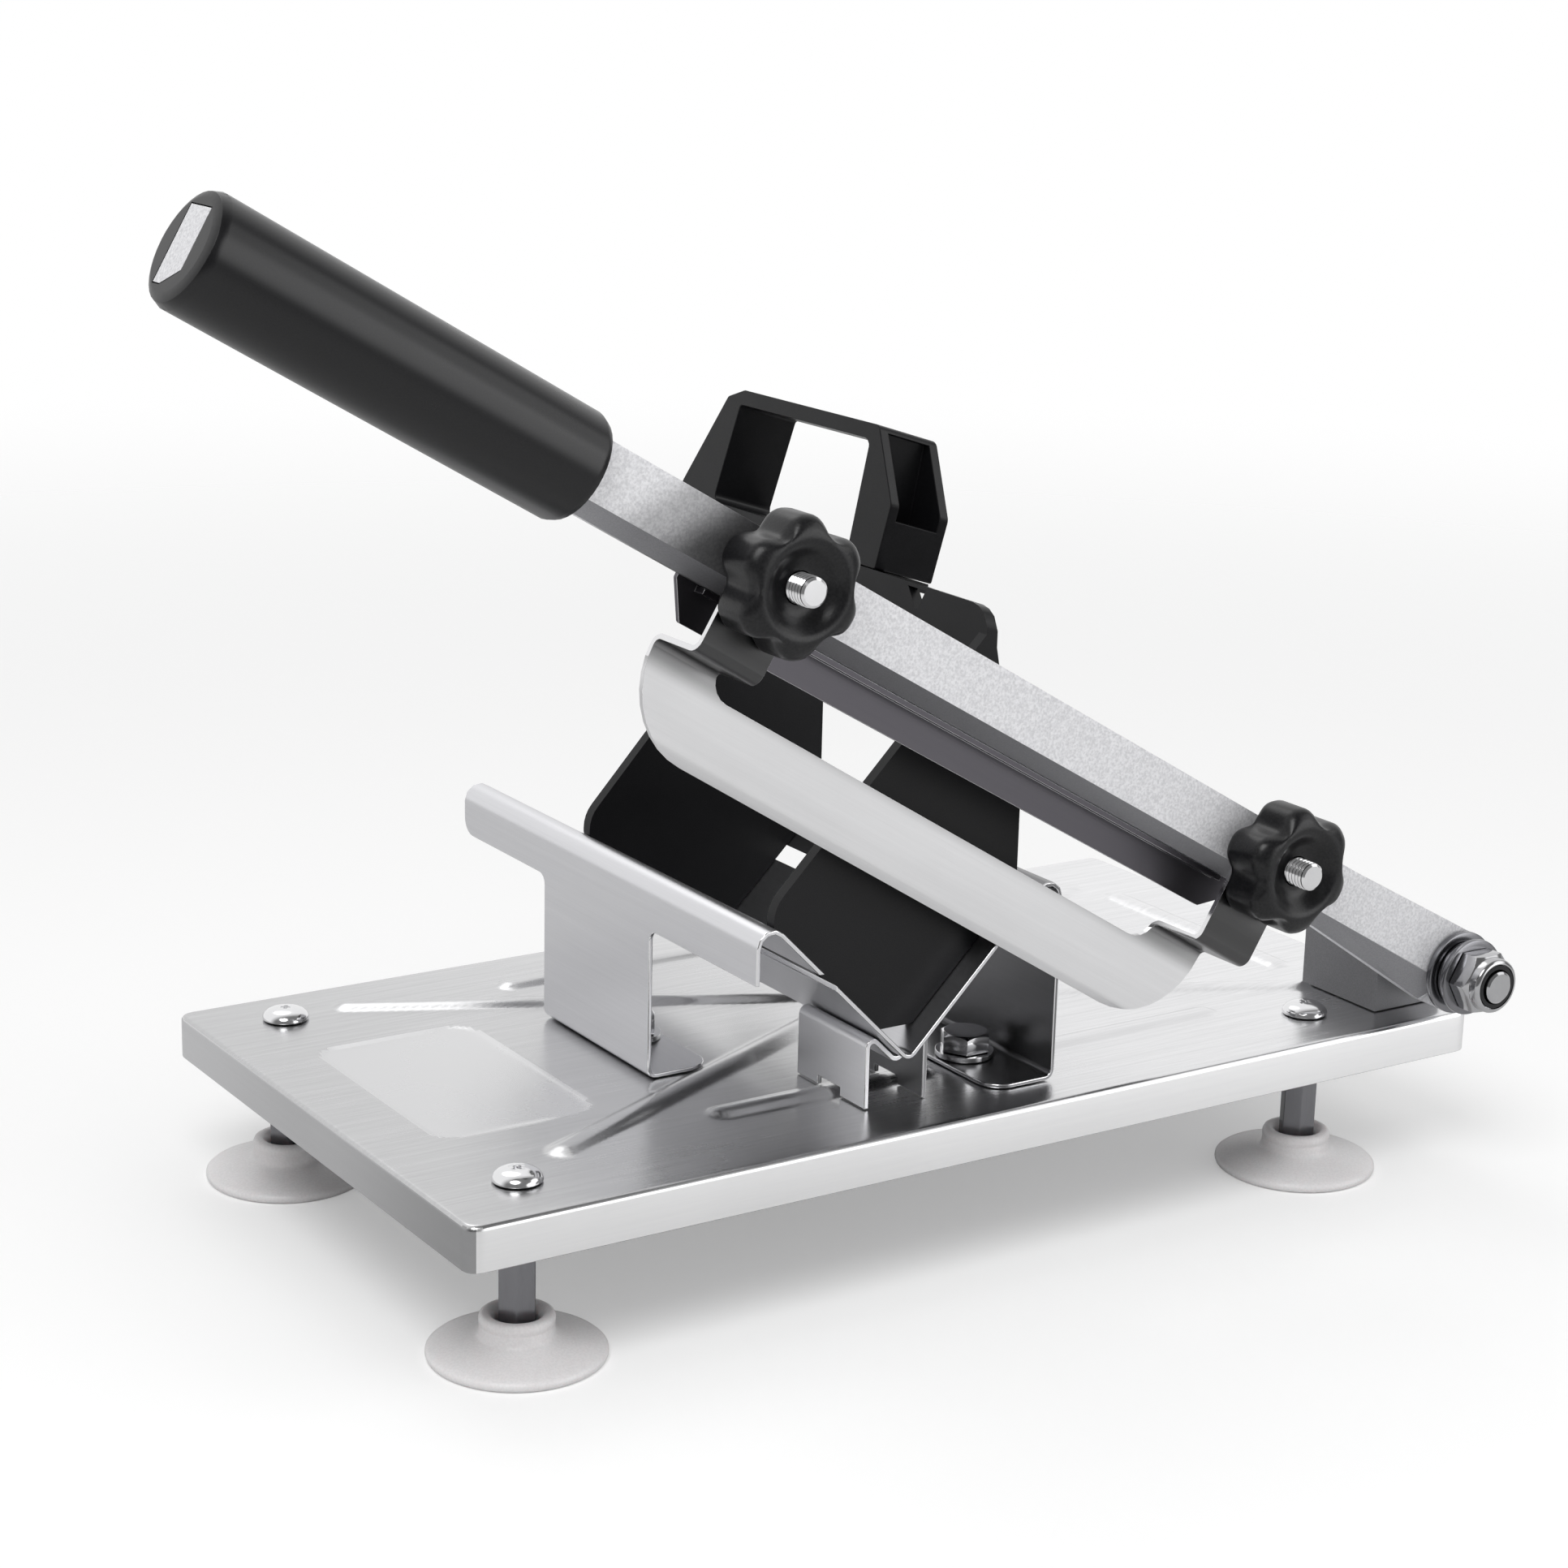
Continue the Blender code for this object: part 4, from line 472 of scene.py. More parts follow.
# Looks of paint, plastic and rubber: relief and scatter are in mm.
grainLooks = {
    "silverPaint": {
        "grainScale": 1500, "markSize": 20, "dark": (0.64, 0.64, 0.66), "light": (0.84, 0.84, 0.86),
        "rough": (0.42, 0.50), "bump": 0.16, "relief": 0.08, "metallic": 0.35,
        # painted shadow: a dark band across the bar beside the left knob
        "paintedShades": [(pointing(64.8), [(-272, 1.0), (-262, 0.55), (-250, 0.12), (-239, 0.12),
                                     (-228, 1.0)])]},
    "barUnder": {
        "grainScale": 2400, "markSize": 26, "dark": (0.29, 0.29, 0.305), "light": (0.35, 0.35, 0.37),
        "rough": (0.45, 0.52), "bump": 0.06, "relief": 0.04, "metallic": 0.2, "shine": 0.4,
        # painted shade: darkest by the left knob
        "paintedShades": [(pointing(arm["angle"]), [(-350, 1.0), (-318, 0.65), (-296, 0.42), (-90, 0.90)])]},
    # painted shade: the arm's silver paint darkened, for the dark the block mirrors
    "shadedBlockPaint": {
        "grainScale": 3200, "markSize": 26, "dark": (0.19, 0.19, 0.20), "light": (0.24, 0.24, 0.25),
        "rough": (0.42, 0.50), "bump": 0.10, "relief": 0.06, "metallic": 0.3},
    "gripPlastic": {
        "grainScale": 3200, "markSize": 18, "dark": (0.003, 0.003, 0.004),
        "light": (0.006, 0.006, 0.007), "rough": (0.27, 0.31), "bump": 0.03, "relief": 0.03,
        "shine": 0.40},
    "knobPlastic": {
        "grainScale": 1500, "markSize": 40, "dark": (0.003, 0.003, 0.004),
        "light": (0.010, 0.010, 0.011), "rough": (0.28, 0.34), "bump": 0.25, "relief": 0.1,
        "shine": 0.35},
    "blackPlastic": {
        "grainScale": 3000, "markSize": 40, "dark": (0.005, 0.005, 0.006),
        "light": (0.009, 0.009, 0.010), "rough": (0.32, 0.42), "bump": 0.06, "relief": 0.04,
        "shine": 0.22},
    "nylonBlack": {
        "grainScale": 3000, "markSize": 60, "dark": (0.010, 0.010, 0.011),
        "light": (0.016, 0.016, 0.018), "rough": (0.40, 0.50), "bump": 0.05, "relief": 0.04,
        "shine": 0.3},
    "paleRubber": {
        "grainScale": 1500, "markSize": 40, "dark": (0.78, 0.76, 0.765),
        "light": (0.84, 0.82, 0.825), "rough": (0.30, 0.42), "bump": 0.06, "relief": 0.05,
        "subsurface": 0.25, "scatter": (4, 3, 3)},
}
finishes = {name: steelFinish(name, look) for name, look in lineLooks.items()}
finishes.update({name: grainFinish(name, look) for name, look in grainLooks.items()})
print("finishes ready:", len(finishes))


# All sizes and places from here to the stage are in mm, the base's from its corner.
base = {"length": 340.0, "depth": 184.0, "skirt": 12.8, "sheet": 1.5, "cornerRadius": 4.0,
        "edgeRadius": 1.6, "edgeSteps": 6, "lipRound": 0.3, "foldRound": 0.8, "spacing": 1.25,
        "ribWidth": 9.4, "ribHeight": 1.6}
ribLines = [((45.9, 34.5), (308, 157)), ((45.9, 165), (308, 42.5)), ((96.9, 37), (162.5, 37)),
            ((200, 37), (265.9, 37)), ((96.9, 159), (265.9, 159)), ((316, 62), (316, 141))]
panel = {"low": (20, 56), "high": (70, 136), "radius": 8.0, "slope": 1.4, "depth": 0.55}


def ease(part):
    # 0 to 1 with a soft start and a soft end
    return part * part * (3 - 2 * part)


def ribRise(x, y):
    # height of the pressed beads at a point of the base
    rise = 0.0
    for (x0, y0), (x1, y1) in ribLines:
        run = Vector((x1 - x0, y1 - y0))
        part = ((x - x0) * run.x + (y - y0) * run.y) / run.length_squared
        part = max(0.0, min(1.0, part))
        away = math.hypot(x - x0 - run.x * part, y - y0 - run.y * part) / (base["ribWidth"] / 2)
        if away < 1:
            rise = max(rise, base["ribHeight"] * (1 - away * away))
    return rise


def panelDrop(x, y):
    # depth of the shallow panel at a point of the base
    insideX = min(x - panel["low"][0], panel["high"][0] - x)
    insideY = min(y - panel["low"][1], panel["high"][1] - y)
    radius = panel["radius"]
    if insideX < radius and insideY < radius:
        inside = radius - math.hypot(radius - insideX, radius - insideY)
    else:
        inside = min(insideX, insideY)
    return panel["depth"] * ease(max(0.0, min(1.0, inside / panel["slope"])))


def roundCorner(x, y, halfX, halfY):
    # a point of the flat top, moved in where a corner is rounded, and the way out from its edge
    cornerSize = base["cornerRadius"] - base["edgeRadius"]
    overX, overY = abs(x) - (halfX - cornerSize), abs(y) - (halfY - cornerSize)
    nearEdge = 1e-4
    outward = Vector((0, 0))
    if overX > 0 and overY > 0:
        pull = max(overX, overY) / math.hypot(overX, overY)
        outward = Vector((math.copysign(overX, x), math.copysign(overY, y))).normalized()
        x = math.copysign(halfX - cornerSize + overX * pull, x)
        y = math.copysign(halfY - cornerSize + overY * pull, y)
    elif abs(x) > halfX - nearEdge:
        outward = Vector((math.copysign(1, x), 0))
    elif abs(y) > halfY - nearEdge:
        outward = Vector((0, math.copysign(1, y)))
    return x, y, outward


def skirtRings():
    # (distance out, height) of each ring, from the rounded edge down and back under the sheet
    radius, sheet, skirt = base["edgeRadius"], base["sheet"], base["skirt"]
    lip, fold = base["lipRound"], base["foldRound"]
    rings = []
    for step in range(1, base["edgeSteps"] + 1):
        angle = math.radians(90 * step / base["edgeSteps"])
        rings.append((radius * math.sin(angle), radius * (math.cos(angle) - 1)))
    inner = radius - sheet
    rings += [(radius, -skirt + lip), (radius - lip, -skirt), (inner + lip, -skirt),
              (inner, -skirt + lip), (inner, -sheet - fold), (inner - fold, -sheet)]
    return rings


def planKey(place):
    return round(place.x, 4), round(place.y, 4)


def drawSkirt(piece, outward):
    # draws the border of the top out and down, each new vertex following the one it came from
    pick(piece)
    bpy.ops.object.mode_set(mode="EDIT")
    bpy.ops.mesh.select_all(action="DESELECT")
    bpy.ops.mesh.select_mode(type="EDGE")
    bpy.ops.mesh.select_non_manifold()
    bpy.ops.mesh.select_mode(type="VERT")
    bpy.ops.object.mode_set(mode="OBJECT")
    border = {vertex.index: vertex.co.copy() for vertex in piece.data.vertices if vertex.select}
    origins = {planKey(place): index for index, place in border.items()}
    for out, height in skirtRings():
        bpy.ops.object.mode_set(mode="EDIT")
        bpy.ops.mesh.extrude_edges_move(TRANSFORM_OT_translate={"value": (0, 0, -1000)})
        bpy.ops.object.mode_set(mode="OBJECT")
        before, origins = origins, {}
        for vertex in piece.data.vertices:
            if vertex.select:
                origin = before[planKey(vertex.co)]
                start, way = border[origin], outward[origin]
                vertex.co = Vector((start.x + way.x * out, start.y + way.y * out, height))
                origins[planKey(vertex.co)] = origin
    bpy.ops.object.mode_set(mode="EDIT")
    bpy.ops.mesh.edge_face_add()
    bpy.ops.mesh.select_all(action="SELECT")
    bpy.ops.mesh.normals_make_consistent(inside=False)
    bpy.ops.object.mode_set(mode="OBJECT")
    return len(border)


def buildBase():
    clearSelection()
    flatLength = base["length"] - 2 * base["edgeRadius"]
    flatDepth = base["depth"] - 2 * base["edgeRadius"]
    columns, rows = int(flatLength / base["spacing"]), int(flatDepth / base["spacing"])
    bpy.ops.mesh.primitive_grid_add(x_subdivisions=columns, y_subdivisions=rows, size=1)
    piece = bpy.context.object
    piece.name = "base_pressing"
    piece.scale = (flatLength, flatDepth, 1)
    applyPlace()
    outward = {}
    for vertex in piece.data.vertices:
        x, y, way = roundCorner(vertex.co.x, vertex.co.y, flatLength / 2, flatDepth / 2)
        x, y = x + base["length"] / 2, y + base["depth"] / 2
        vertex.co = Vector((x, y, ribRise(x, y) - panelDrop(x, y)))
        outward[vertex.index] = way
    borderSize = drawSkirt(piece, outward)
    for vertex in piece.data.vertices:
        vertex.co = corner + vertex.co * mm

    # the skirt gets a lit copy of the steel and its left end a shaded copy, painted light and shade;
    # the sunk panel has a look of its own
    steep, sunk = 0.6, 0.02
    for face in piece.data.polygons:
        if abs(face.normal.z) < steep:
            face.material_index = 2 if face.normal.x < -0.5 else 1
        elif face.normal.z > steep and panelDrop(*((face.center - corner) / mm).xy) > sunk:
            face.material_index = 3
    print("base top:", columns, "x", rows, "squares, border of", borderSize)
    smoothPiece(piece, 35)
    finishPiece(piece, "base", "base_plate",
                ["baseSteel", "litSkirtSteel", "shadedSideSteel", "panelSteel"])


buildBase()


# rings are (radius, height above the counter) for a cup and (radius, height above the base)
# for a screw's head; the cross is cut from crossTop down to crossFloor, where it is narrower
feet = {
    "cupRings": [
        (6.0, 3.0), (12.0, 2.7), (17.5, 1.7), (20.5, 0.5), (21.8, 0.05), (22.9, 0.0), (23.7, 0.5),
        (24.0, 1.3), (23.9, 2.1), (23.2, 2.7), (21.6, 3.3), (18.5, 4.2), (15.0, 4.9), (12.3, 5.4),
        (10.9, 5.8), (10.3, 6.4), (10.1, 7.2), (10.1, 8.3), (9.75, 8.9), (9.75, 9.2), (10.1, 9.7),
        (10.1, 10.9), (9.7, 11.8), (9.0, 12.2), (7.9, 12.2), (7.3, 11.9), (6.0, 10.4), (5.7, 9.6),
        (5.7, 5.6)],
    "headRings": [
        (6.5, 0.3), (6.8, 0.6), (6.8, 0.9), (6.55, 1.6), (6.0, 2.3), (5.1, 2.95), (4.0, 3.35),
        (2.6, 3.62), (1.2, 3.7)],
    "crossLength": 6.2, "crossWidth": 1.5, "crossFloor": 1.7, "crossTop": 5.0,
    "crossNarrowing": (0.45, 0.7, 1), "crossTurn": 20, "crossTurnStep": 37,
    "shankRadius": 2.4, "shankLength": 13.5, "shankInHead": 0.4, "shankTip": 0.8}


def buildFootScrew():
    # pan head with a cross in it, on a plain shank
    head = turnPiece("foot_screw_dressed", feet["headRings"], 48)
    floor, top = feet["crossFloor"], feet["crossTop"]
    middle = (floor + top) / 2
    for turn in (0, 90):
        clearSelection()
        bpy.ops.mesh.primitive_cube_add(size=1, location=(0, 0, middle * mm))
        slot = bpy.context.object
        slot.scale = (feet["crossLength"] * mm, feet["crossWidth"] * mm, (top - floor) * mm)
        applyPlace()
        selectVertices(slot, lambda vertex: vertex.co.z < middle * mm)
        bpy.ops.transform.resize(value=feet["crossNarrowing"], center_override=(0, 0, 0))
        bpy.ops.object.mode_set(mode="OBJECT")
        spinPiece(slot, turn)
        cutWith(head, slot)
    radius, length = feet["shankRadius"], feet["shankLength"]
    shank = turnPiece("shank", [(radius * 0.7, -length), (radius, -length + feet["shankTip"]),
                                (radius, feet["shankInHead"])], 24)
    joinPieces(head, shank)
    breakEdges(head, 0.12, 40)
    return head


cupModel = turnPiece("suction_cup_dressed", feet["cupRings"], 96)
screwModel = buildFootScrew()
for index, name in enumerate(["front_left", "back_left", "front_right", "back_right"]):
    low, high, middle = nodeBox("suction_cup_" + name)
    cup = copyPiece(cupModel, "suction_cup_dressed_" + name)
    movePiece(cup, Vector((middle.x, middle.y, low.z)))
    smoothPiece(cup, 45)
    finishPiece(cup, "base", "suction_cup_" + name, ["paleRubber"])
    screw = copyPiece(screwModel, "foot_screw_dressed_" + name)
    spinPiece(screw, feet["crossTurn"] + feet["crossTurnStep"] * index)
    movePiece(screw, Vector((middle.x, middle.y, corner.z)))
    smoothPiece(screw, 35)
    finishPiece(screw, "base", "foot_screw_" + name, ["brightSteelAndHighlight"])
    softenNode("foot_post_" + name, "base", ["plainSteel"], 0.25)
for model in (cupModel, screwModel):
    bpy.data.objects.remove(model, do_unlink=True)
print("feet done")


softenNode("trough", "base", ["troughSteel", "brightSteelAndHighlight"], 0.3)
softenNode("trough_saddle", "base", ["saddleSteel", "brightSteelAndHighlight"], 0.3)

# flats is the width across flats, dome the height over which the corners are turned off
troughBolt = {"flats": 13.0, "head": 5.3, "dome": 0.8,
              "shankRings": [(3.3, -12.3), (4.0, -11.5), (4.0, 0.2)]}


def buildHexBody(name, flats, length, dome):
    # hexagon on Z = 0 whose corners are turned off by a cone at its free end
    clearSelection()
    radius = flats / 2 / math.cos(math.radians(30))
    bpy.ops.mesh.primitive_cylinder_add(
        vertices=6, radius=radius * mm, depth=length * mm,
        location=(0, 0, length / 2 * mm), rotation=(0, 0, math.radians(30)))
    piece = bpy.context.object
    piece.name = name
    applyPlace()
    cone = turnPiece("cone", [(radius + 1, -1), (radius + 1, length - dome * 1.6),
                              (radius - 0.2, length - dome), (flats / 2 * 0.94, length)], 64)
    cutWith(piece, cone, "INTERSECT")
    breakEdges(piece, 0.2, 25)
    return piece


boltHead = buildHexBody("trough_bolt_dressed", troughBolt["flats"], troughBolt["head"],
                        troughBolt["dome"])
boltModel = joinPieces(boltHead, turnPiece("shank", troughBolt["shankRings"], 32))
for side in ("left", "right"):
    low, high, middle = nodeBox("trough_bolt_" + side)
    bolt = copyPiece(boltModel, "trough_bolt_dressed_" + side)
    movePiece(bolt, Vector((middle.x, middle.y, high.z - troughBolt["head"] * mm)))
    smoothPiece(bolt, 35)
    finishPiece(bolt, "base", "trough_bolt_" + side, ["brightSteelAndHighlight"])
    softenNode("trough_washer_" + side, "base", ["brightSteelAndHighlight"], 0.2, 30)
    softenNode("trough_nut_" + side, "base", ["plainSteel"], 0.25, 30)
bpy.data.objects.remove(boltModel, do_unlink=True)
print("trough done")


softenNode("pivot_block", "base", ["shadedBlockPaint"], 0.5)
softenNode("pivot_spacer", "base", ["plainSteel"], 0.2, 30)
for name in ("block_screw_front", "block_screw_back"):
    softenNode(name, "base", ["plainSteel"], 0.2, 30)

# bend lifts a washer's inner rim, as on a cupped spring washer
washers = {
    "pivot_washer_inner": {"outer": 12.5, "edge": 0.4, "bend": 0.0, "slot": "plain_steel"},
    "pivot_spring_washer": {"outer": 10.0, "edge": 0.5, "bend": 0.7, "slot": "plain_steel"},
    "pivot_washer_outer": {"outer": 11.5, "edge": 0.4, "bend": 0.0, "slot": "bright_steel"},
}
# lengths run from the pivot nut's or bolt head's flat end; the nut's collar holds the insert
pivot = {"flats": 17.0, "nutDome": 1.2, "hexLength": 6.6, "collarFoot": 1.5, "collarRadius": 8.2,
         "boreRadius": 5.3, "insertRadius": 6.85, "insertFoot": 0.2,
         "headDome": 1.0, "headLength": 6.4, "shankRadius": 5.0, "shankInHead": 0.3,
         "thread": {"length": 14.0, "pitch": 1.5, "depth": 0.6}}
forwards = (0, -1, 0)


def buildWasher(node, washer):
    low, high, middle = nodeBox(node)
    thick = (high.y - low.y) / mm
    inner, outer = pivot["boreRadius"], washer["outer"]
    edge, bend = washer["edge"], washer["bend"]
    rim = thick - bend
    rings = [(inner, bend * 0.4), (inner + 0.3, bend * 0.4), (outer - edge, 0.0),
             (outer - edge * 0.3, edge * 0.3), (outer, edge), (outer, rim - edge),
             (outer - edge * 0.3, rim - edge * 0.3), (outer - edge, rim),
             (inner + 0.3, thick), (inner, thick - 0.2)]
    piece = turnPiece(node + "_dressed", rings, 80)
    drillPiece(piece, inner, thick, 80)
    movePiece(piece, Vector((middle.x, high.y, middle.z)), forwards)
    smoothPiece(piece, 35)
    finishPiece(piece, "base", node, ["plainSteel"])


def threadRings(radius, length, thread):
    # crests and roots in turn over the thread's length, up to a chamfered end
    height, pitch, root = length - thread["length"], thread["pitch"], radius - thread["depth"]
    rings = []
    while height + pitch < length - 0.6:
        rings += [(root, height), (radius, height + pitch * 0.42), (radius, height + pitch * 0.58)]
        height += pitch
    rings += [(root, height), (radius - 0.15, height + 0.3), (radius - 0.15, length - 0.5),
              (radius - 0.8, length)]
    return rings


def buildPivotNut():
    # hexagon with a round collar, whose wider bore holds the nylon insert
    low, high, middle = nodeBox("pivot_nut")
    total, hexLength, outer = (high.y - low.y) / mm, pivot["hexLength"], pivot["collarRadius"]
    piece = buildHexBody("pivot_nut_dressed", pivot["flats"], hexLength, pivot["nutDome"])
    collar = turnPiece("collar", [(outer, hexLength - pivot["collarFoot"]), (outer, total - 1.0),
                                  (outer - 0.2, total - 0.5), (outer - 0.7, total - 0.12),
                                  (outer - 1.1, total), (outer - 1.3, total)], 64)
    cutWith(piece, collar, "UNION")
    past, step = 2.0, hexLength - pivot["insertFoot"]
    bore = turnPiece("bore", [(pivot["boreRadius"], -past), (pivot["boreRadius"], step),
                              (pivot["insertRadius"], step), (pivot["insertRadius"], total + past)], 64)
    cutWith(piece, bore)
    movePiece(piece, Vector((middle.x, high.y, middle.z)), forwards)
    smoothPiece(piece, 35)
    finishPiece(piece, "base", "pivot_nut", ["nutSteel"])


def buildPivotBolt():
    low, high, middle = nodeBox("pivot_bolt")
    headLength, radius, thread = pivot["headLength"], pivot["shankRadius"], pivot["thread"]
    head = buildHexBody("pivot_bolt_dressed", pivot["flats"], headLength, pivot["headDome"])
    movePiece(head, Vector((0, 0, 0)), (0, 0, -1))
    length = (high.y - low.y) / mm - headLength
    rings = [(radius, -pivot["shankInHead"]), (radius, length - thread["length"])]
    rings += threadRings(radius, length, thread)
    bolt = joinPieces(head, turnPiece("shank", rings, 48))
    movePiece(bolt, Vector((middle.x, high.y - headLength * mm, middle.z)), forwards)
    smoothPiece(bolt, 35)
    finishPiece(bolt, "base", "pivot_bolt", ["nutSteel"])


for node, washer in washers.items():
    buildWasher(node, washer)
buildPivotNut()
buildPivotBolt()
softenNode("nut_insert", "base", ["nylonBlack"], 0.15, 30)
print("pivot done")


bar = softenNode("arm_bar", "arm", ["silverPaint", "silverPaint"], 0.5)
softenNode("grip", "arm", ["gripPlastic"], 0.35, 50)
# painted highlight: the stop plate's and the blade's broken edges get bright steel
stop = softenNode("stop_plate", "arm", ["darkSteel", "brightSteelAndHighlight"], 0.2)
blade = softenNode("blade", "arm", ["bladeSteel", "brightSteelAndHighlight"], 0.25)

# the lower front face of the bar is smooth and darker than the sprayed faces; a painted shade darkens
# it most by the left knob
bar.data.materials.append(finishes["barUnder"])
for face in bar.data.polygons:
    if face.normal.dot(pointing(arm["angle"] + 90)) > 0.6 and face.normal.y < -0.25:
        face.material_index = 2

# a painted highlight: the stop plate's top edge and the cut ends of the blade's ears are bright
earFoot = -36  # where the ears begin, mm above the line through the pivot along the blade
for face in stop.data.polygons:
    if face.normal.dot(pointing(arm["angle"] - 90)) > 0.7:
        face.material_index = 1
for face in blade.data.polygons:
    height = (face.center - pivotPlace).dot(pointing(arm["bladeAngle"] - 90)) / mm
    endwards = face.normal.dot(pointing(arm["bladeAngle"] + 180))
    if endwards > 0.55 and abs(face.normal.y) < 0.5 and height > earFoot:
        face.material_index = 1

studs = {"radius": 4.0, "headHeight": 2.4,
         "headRings": [(6.2, -2.4), (7.0, -2.2), (7.4, -1.6), (7.5, -0.8), (7.5, 0.0)],
         "thread": {"length": 15.0, "pitch": 1.25, "depth": 0.55}}
for side in ("left", "right"):
    low, high, middle = nodeBox("stud_" + side)
    radius, thread = studs["radius"], studs["thread"]
    length = (high.y - low.y) / mm - studs["headHeight"]
    rings = studs["headRings"] + [(radius, 0.0), (radius, length - thread["length"])]
    rings += threadRings(radius, length, thread)
    stud = turnPiece("stud_dressed_" + side, rings, 40)
    place = Vector((middle.x, high.y - studs["headHeight"] * mm, middle.z))
    movePiece(stud, place, forwards)
    smoothPiece(stud, 35)
    finishPiece(stud, "arm", "stud_" + side, ["brightSteelAndHighlight"])

# dishRings run inwards from the ridge of the front face: (distance in from the ridge, height)
knobs = {"radius": 18.2, "ridge": 12.8, "length": 15.0, "frontRound": 4.4, "frontSteps": 8,
         "lobes": 6, "fluteDepth": 3.45, "sharpness": 1.585, "bore": 4.35,
         "turn": {"left": 25.6, "right": 32.5},
         "dishRings": [(0.9, 14.9), (1.7, 14.55), (2.5, 14.0), (3.4, 13.2), (4.4, 12.3),
                       (5.5, 11.6), (6.6, 11.15), (7.6, 11.0)]}


def pressFlutes(piece):
    # draws the side in between the lobes; the flutes run out before the ridge of the front face
    for vertex in piece.data.vertices:
        away = vertex.co.xy.length / mm
        part = (away - knobs["ridge"]) / (knobs["radius"] - knobs["ridge"])
        if part > 0:
            turn = math.atan2(vertex.co.y, vertex.co.x)
            wave = (0.5 - 0.5 * math.cos(knobs["lobes"] * turn)) ** knobs["sharpness"]
            vertex.co.xy = vertex.co.xy * (1 - knobs["fluteDepth"] * wave * ease(part) / away)


def buildKnob(side):
    low, high, middle = nodeBox("knob_" + side)
    outer, ridge, length = knobs["radius"], knobs["ridge"], knobs["length"]
    drop, steps = knobs["frontRound"], knobs["frontSteps"]
    rings = [(outer - 2.0, 0.0), (outer - 1.1, 0.1), (outer - 0.4, 0.6), (outer - 0.1, 1.3),
             (outer, 2.2), (outer, 6.5)]
    for step in range(steps + 1):
        turn = math.radians(90 * step / steps)
        rings.append((ridge + (outer - ridge) * math.cos(turn), length - drop + drop * math.sin(turn)))
    rings += [(ridge - inwards, height) for inwards, height in knobs["dishRings"]]
    piece = turnPiece("knob_dressed_" + side, rings, 144)
    pressFlutes(piece)
    drillPiece(piece, knobs["bore"], length, 72)
    spinPiece(piece, knobs["turn"][side])
    movePiece(piece, Vector((middle.x, high.y, middle.z)), forwards)
    smoothPiece(piece, 35)
    finishPiece(piece, "knob_" + side, "knob_" + side, ["knobPlastic"])


for side in ("left", "right"):
    buildKnob(side)
print("arm done")


softenNode("pusher_plate", "pusher", ["blackPlastic"], 0.5)
softenNode("pusher_handle", "pusher", ["blackPlastic"], 0.9)
print("pusher done")


# The stage's own sizes and places are in metres, but for the camera's place in mm from the corner.
floorLook = {"radius": 2.2, "colour": (0.80, 0.80, 0.80, 1), "lift": 0.27, "fade": (0.45, 1.6)}
room = {"light": 0.50, "dimSide": 0.20, "brightSide": 1.0, "change": (-0.25, 0.35),
        "window": (0.557, -0.815, 0.159), "windowEdge": (0.90, 0.985), "windowLight": 2.4}
lamps = {
    "key": {"place": (-0.75, -0.75, 1.35), "size": 0.9, "power": 12.0},
    "fill": {"place": (1.3, -0.8, 0.9), "size": 1.1, "power": 4.0},
    "back": {"place": (0.1, 1.1, 1.6), "size": 1.0, "power": 3.0},
}
lampTarget = (0.02, 0, 0.08)
view = {"place": (-347.9, -668.5, 321.7), "yaw": 33.22, "pitch": 15.32, "roll": 1.44, "lens": 75.0}
plainWhite = (1, 1, 1, 1)


def mixShaders(tree, share, first, second):
    mix = addNode(tree, "ShaderNodeMixShader", {
        "Fac": share, 1: first.outputs[0], 2: second.outputs[0]})
    return mix


def buildFloor():
    # pale floor that the camera sees a little lighter, and that fades out far away
    clearSelection()
    bpy.ops.mesh.primitive_circle_add(vertices=96, radius=floorLook["radius"], fill_type="NGON")
    floor = bpy.context.object
    floor.name = "floor"
    paint = bpy.data.materials.new("pale floor")
    paint.use_nodes = True
    tree = paint.node_tree
    shader = tree.nodes["Principled BSDF"]
    path = addNode(tree, "ShaderNodeLightPath", {})
    lift = addNode(tree, "ShaderNodeMath", {
        0: path.outputs["Is Camera Ray"], 1: floorLook["lift"]}, operation="MULTIPLY")
    feed(tree, shader, {
        "Base Color": floorLook["colour"], "Roughness": 0.9, "Specular IOR Level": 0.0,
        "Emission Color": plainWhite, "Emission Strength": lift.outputs[0]})
    place = addNode(tree, "ShaderNodeTexCoord", {})
    away = addNode(tree, "ShaderNodeVectorMath", {0: place.outputs["Object"]}, operation="LENGTH")
    near, far = floorLook["fade"]
    fade = addNode(tree, "ShaderNodeMapRange", {
        "Value": away.outputs["Value"], "From Min": near, "From Max": far},
        interpolation_type="SMOOTHSTEP")
    clear = addNode(tree, "ShaderNodeBsdfTransparent", {})
    mix = mixShaders(tree, fade.outputs["Result"], shader, clear)
    feed(tree, tree.nodes["Material Output"], {"Surface": mix.outputs[0]})
    floor.data.materials.append(paint)


def addLight(tree, strength):
    return addNode(tree, "ShaderNodeBackground", {"Color": plainWhite, "Strength": strength})


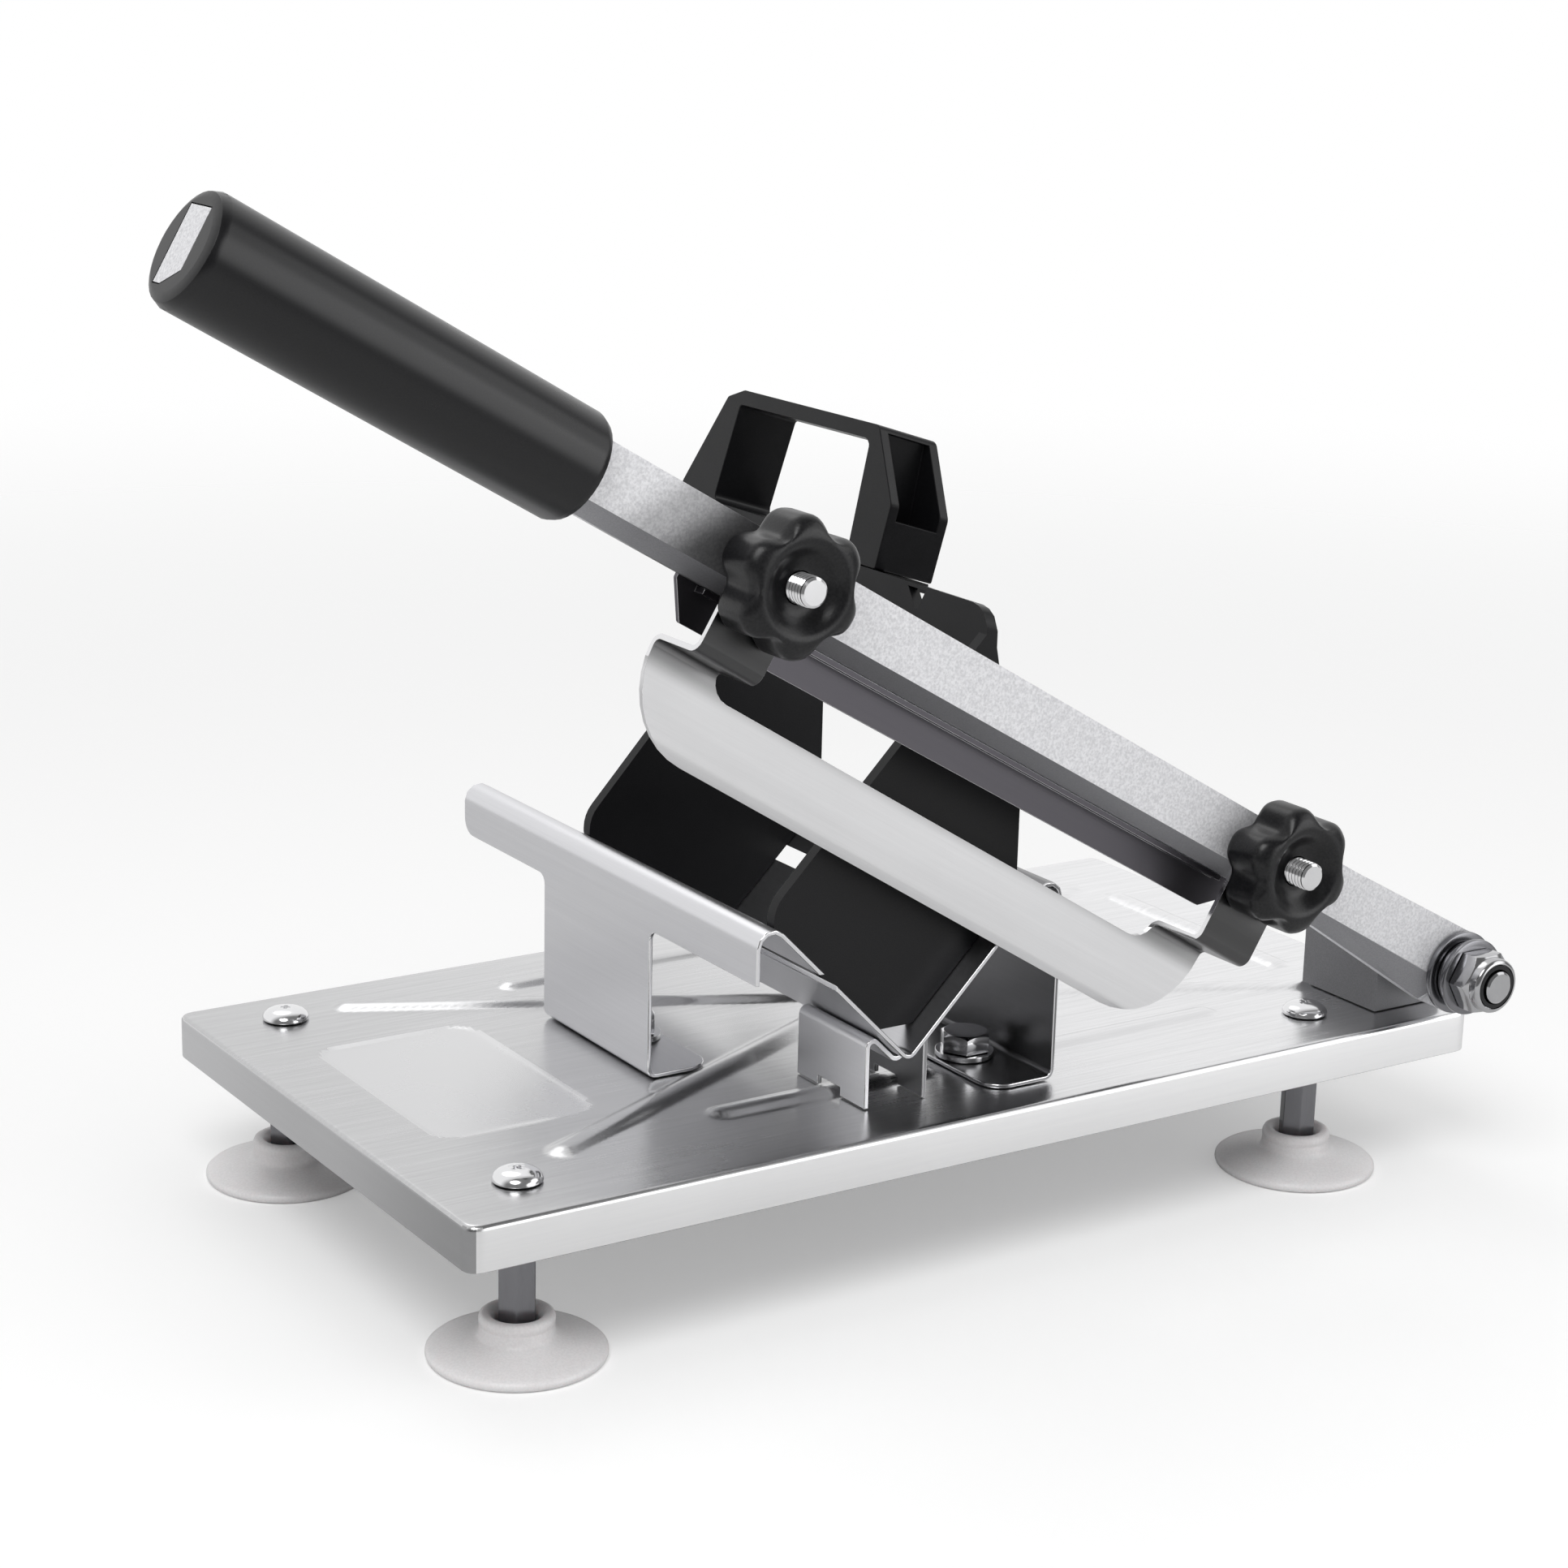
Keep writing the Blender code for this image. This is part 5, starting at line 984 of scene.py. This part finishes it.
def buildWorld():
    # white behind; steel mirrors a room that is dim on the camera's side but for a low window
    world = bpy.data.worlds.new("studio")
    bpy.context.scene.world = world
    world.use_nodes = True
    tree = world.node_tree
    tree.nodes.clear()
    path = addNode(tree, "ShaderNodeLightPath", {})
    direction = addNode(tree, "ShaderNodeTexCoord", {}).outputs["Generated"]
    parts = addNode(tree, "ShaderNodeSeparateXYZ", {"Vector": direction})
    front, back = room["change"]
    walls = addNode(tree, "ShaderNodeMapRange", {
        "Value": parts.outputs["Y"], "From Min": front, "From Max": back,
        "To Min": room["dimSide"], "To Max": room["brightSide"]}, interpolation_type="SMOOTHSTEP")
    facing = addNode(tree, "ShaderNodeVectorMath", {0: direction, 1: room["window"]},
                     operation="DOT_PRODUCT")
    outside, inside = room["windowEdge"]
    window = addNode(tree, "ShaderNodeMapRange", {
        "Value": facing.outputs["Value"], "From Min": outside, "From Max": inside,
        "To Max": room["windowLight"]}, interpolation_type="SMOOTHSTEP")
    around = addNode(tree, "ShaderNodeMath", {
        0: walls.outputs["Result"], 1: window.outputs["Result"]}, operation="ADD")
    seen = addNode(tree, "ShaderNodeMath", {
        0: path.outputs["Is Camera Ray"], 1: path.outputs["Is Transmission Ray"]},
        operation="MAXIMUM")
    soft, mirrored = addLight(tree, room["light"]), addLight(tree, around.outputs[0])
    backdrop = addLight(tree, 1.0)
    inSteel = mixShaders(tree, path.outputs["Is Glossy Ray"], soft, mirrored)
    mix = mixShaders(tree, seen.outputs[0], inSteel, backdrop)
    addNode(tree, "ShaderNodeOutputWorld", {"Surface": mix.outputs[0]})


def buildLamps():
    for name, lamp in lamps.items():
        clearSelection()
        bpy.ops.object.light_add(type="AREA", location=lamp["place"])
        light = bpy.context.object
        light.name = name
        light.data.shape = "DISK"
        light.data.size = lamp["size"]
        light.data.energy = lamp["power"]
        towards = Vector(lampTarget) - Vector(lamp["place"])
        light.rotation_euler = towards.to_track_quat("-Z", "Y").to_euler()


def buildCamera():
    bpy.ops.object.camera_add()
    camera = bpy.context.object
    yaw = Matrix.Rotation(math.radians(-view["yaw"]), 4, "Z")
    pitch = Matrix.Rotation(math.radians(90 - view["pitch"]), 4, "X")
    roll = Matrix.Rotation(math.radians(view["roll"]), 4, "Z")
    place = corner + Vector(view["place"]) * mm
    camera.matrix_world = Matrix.Translation(place) @ yaw @ pitch @ roll
    camera.data.lens = view["lens"]
    camera.data.sensor_width = 36.0
    camera.data.clip_start = 0.01
    bpy.context.scene.camera = camera
    bpy.context.scene.view_settings.view_transform = "Standard"


buildFloor()
buildWorld()
buildLamps()
buildCamera()
print("stage done")

clearSelection()
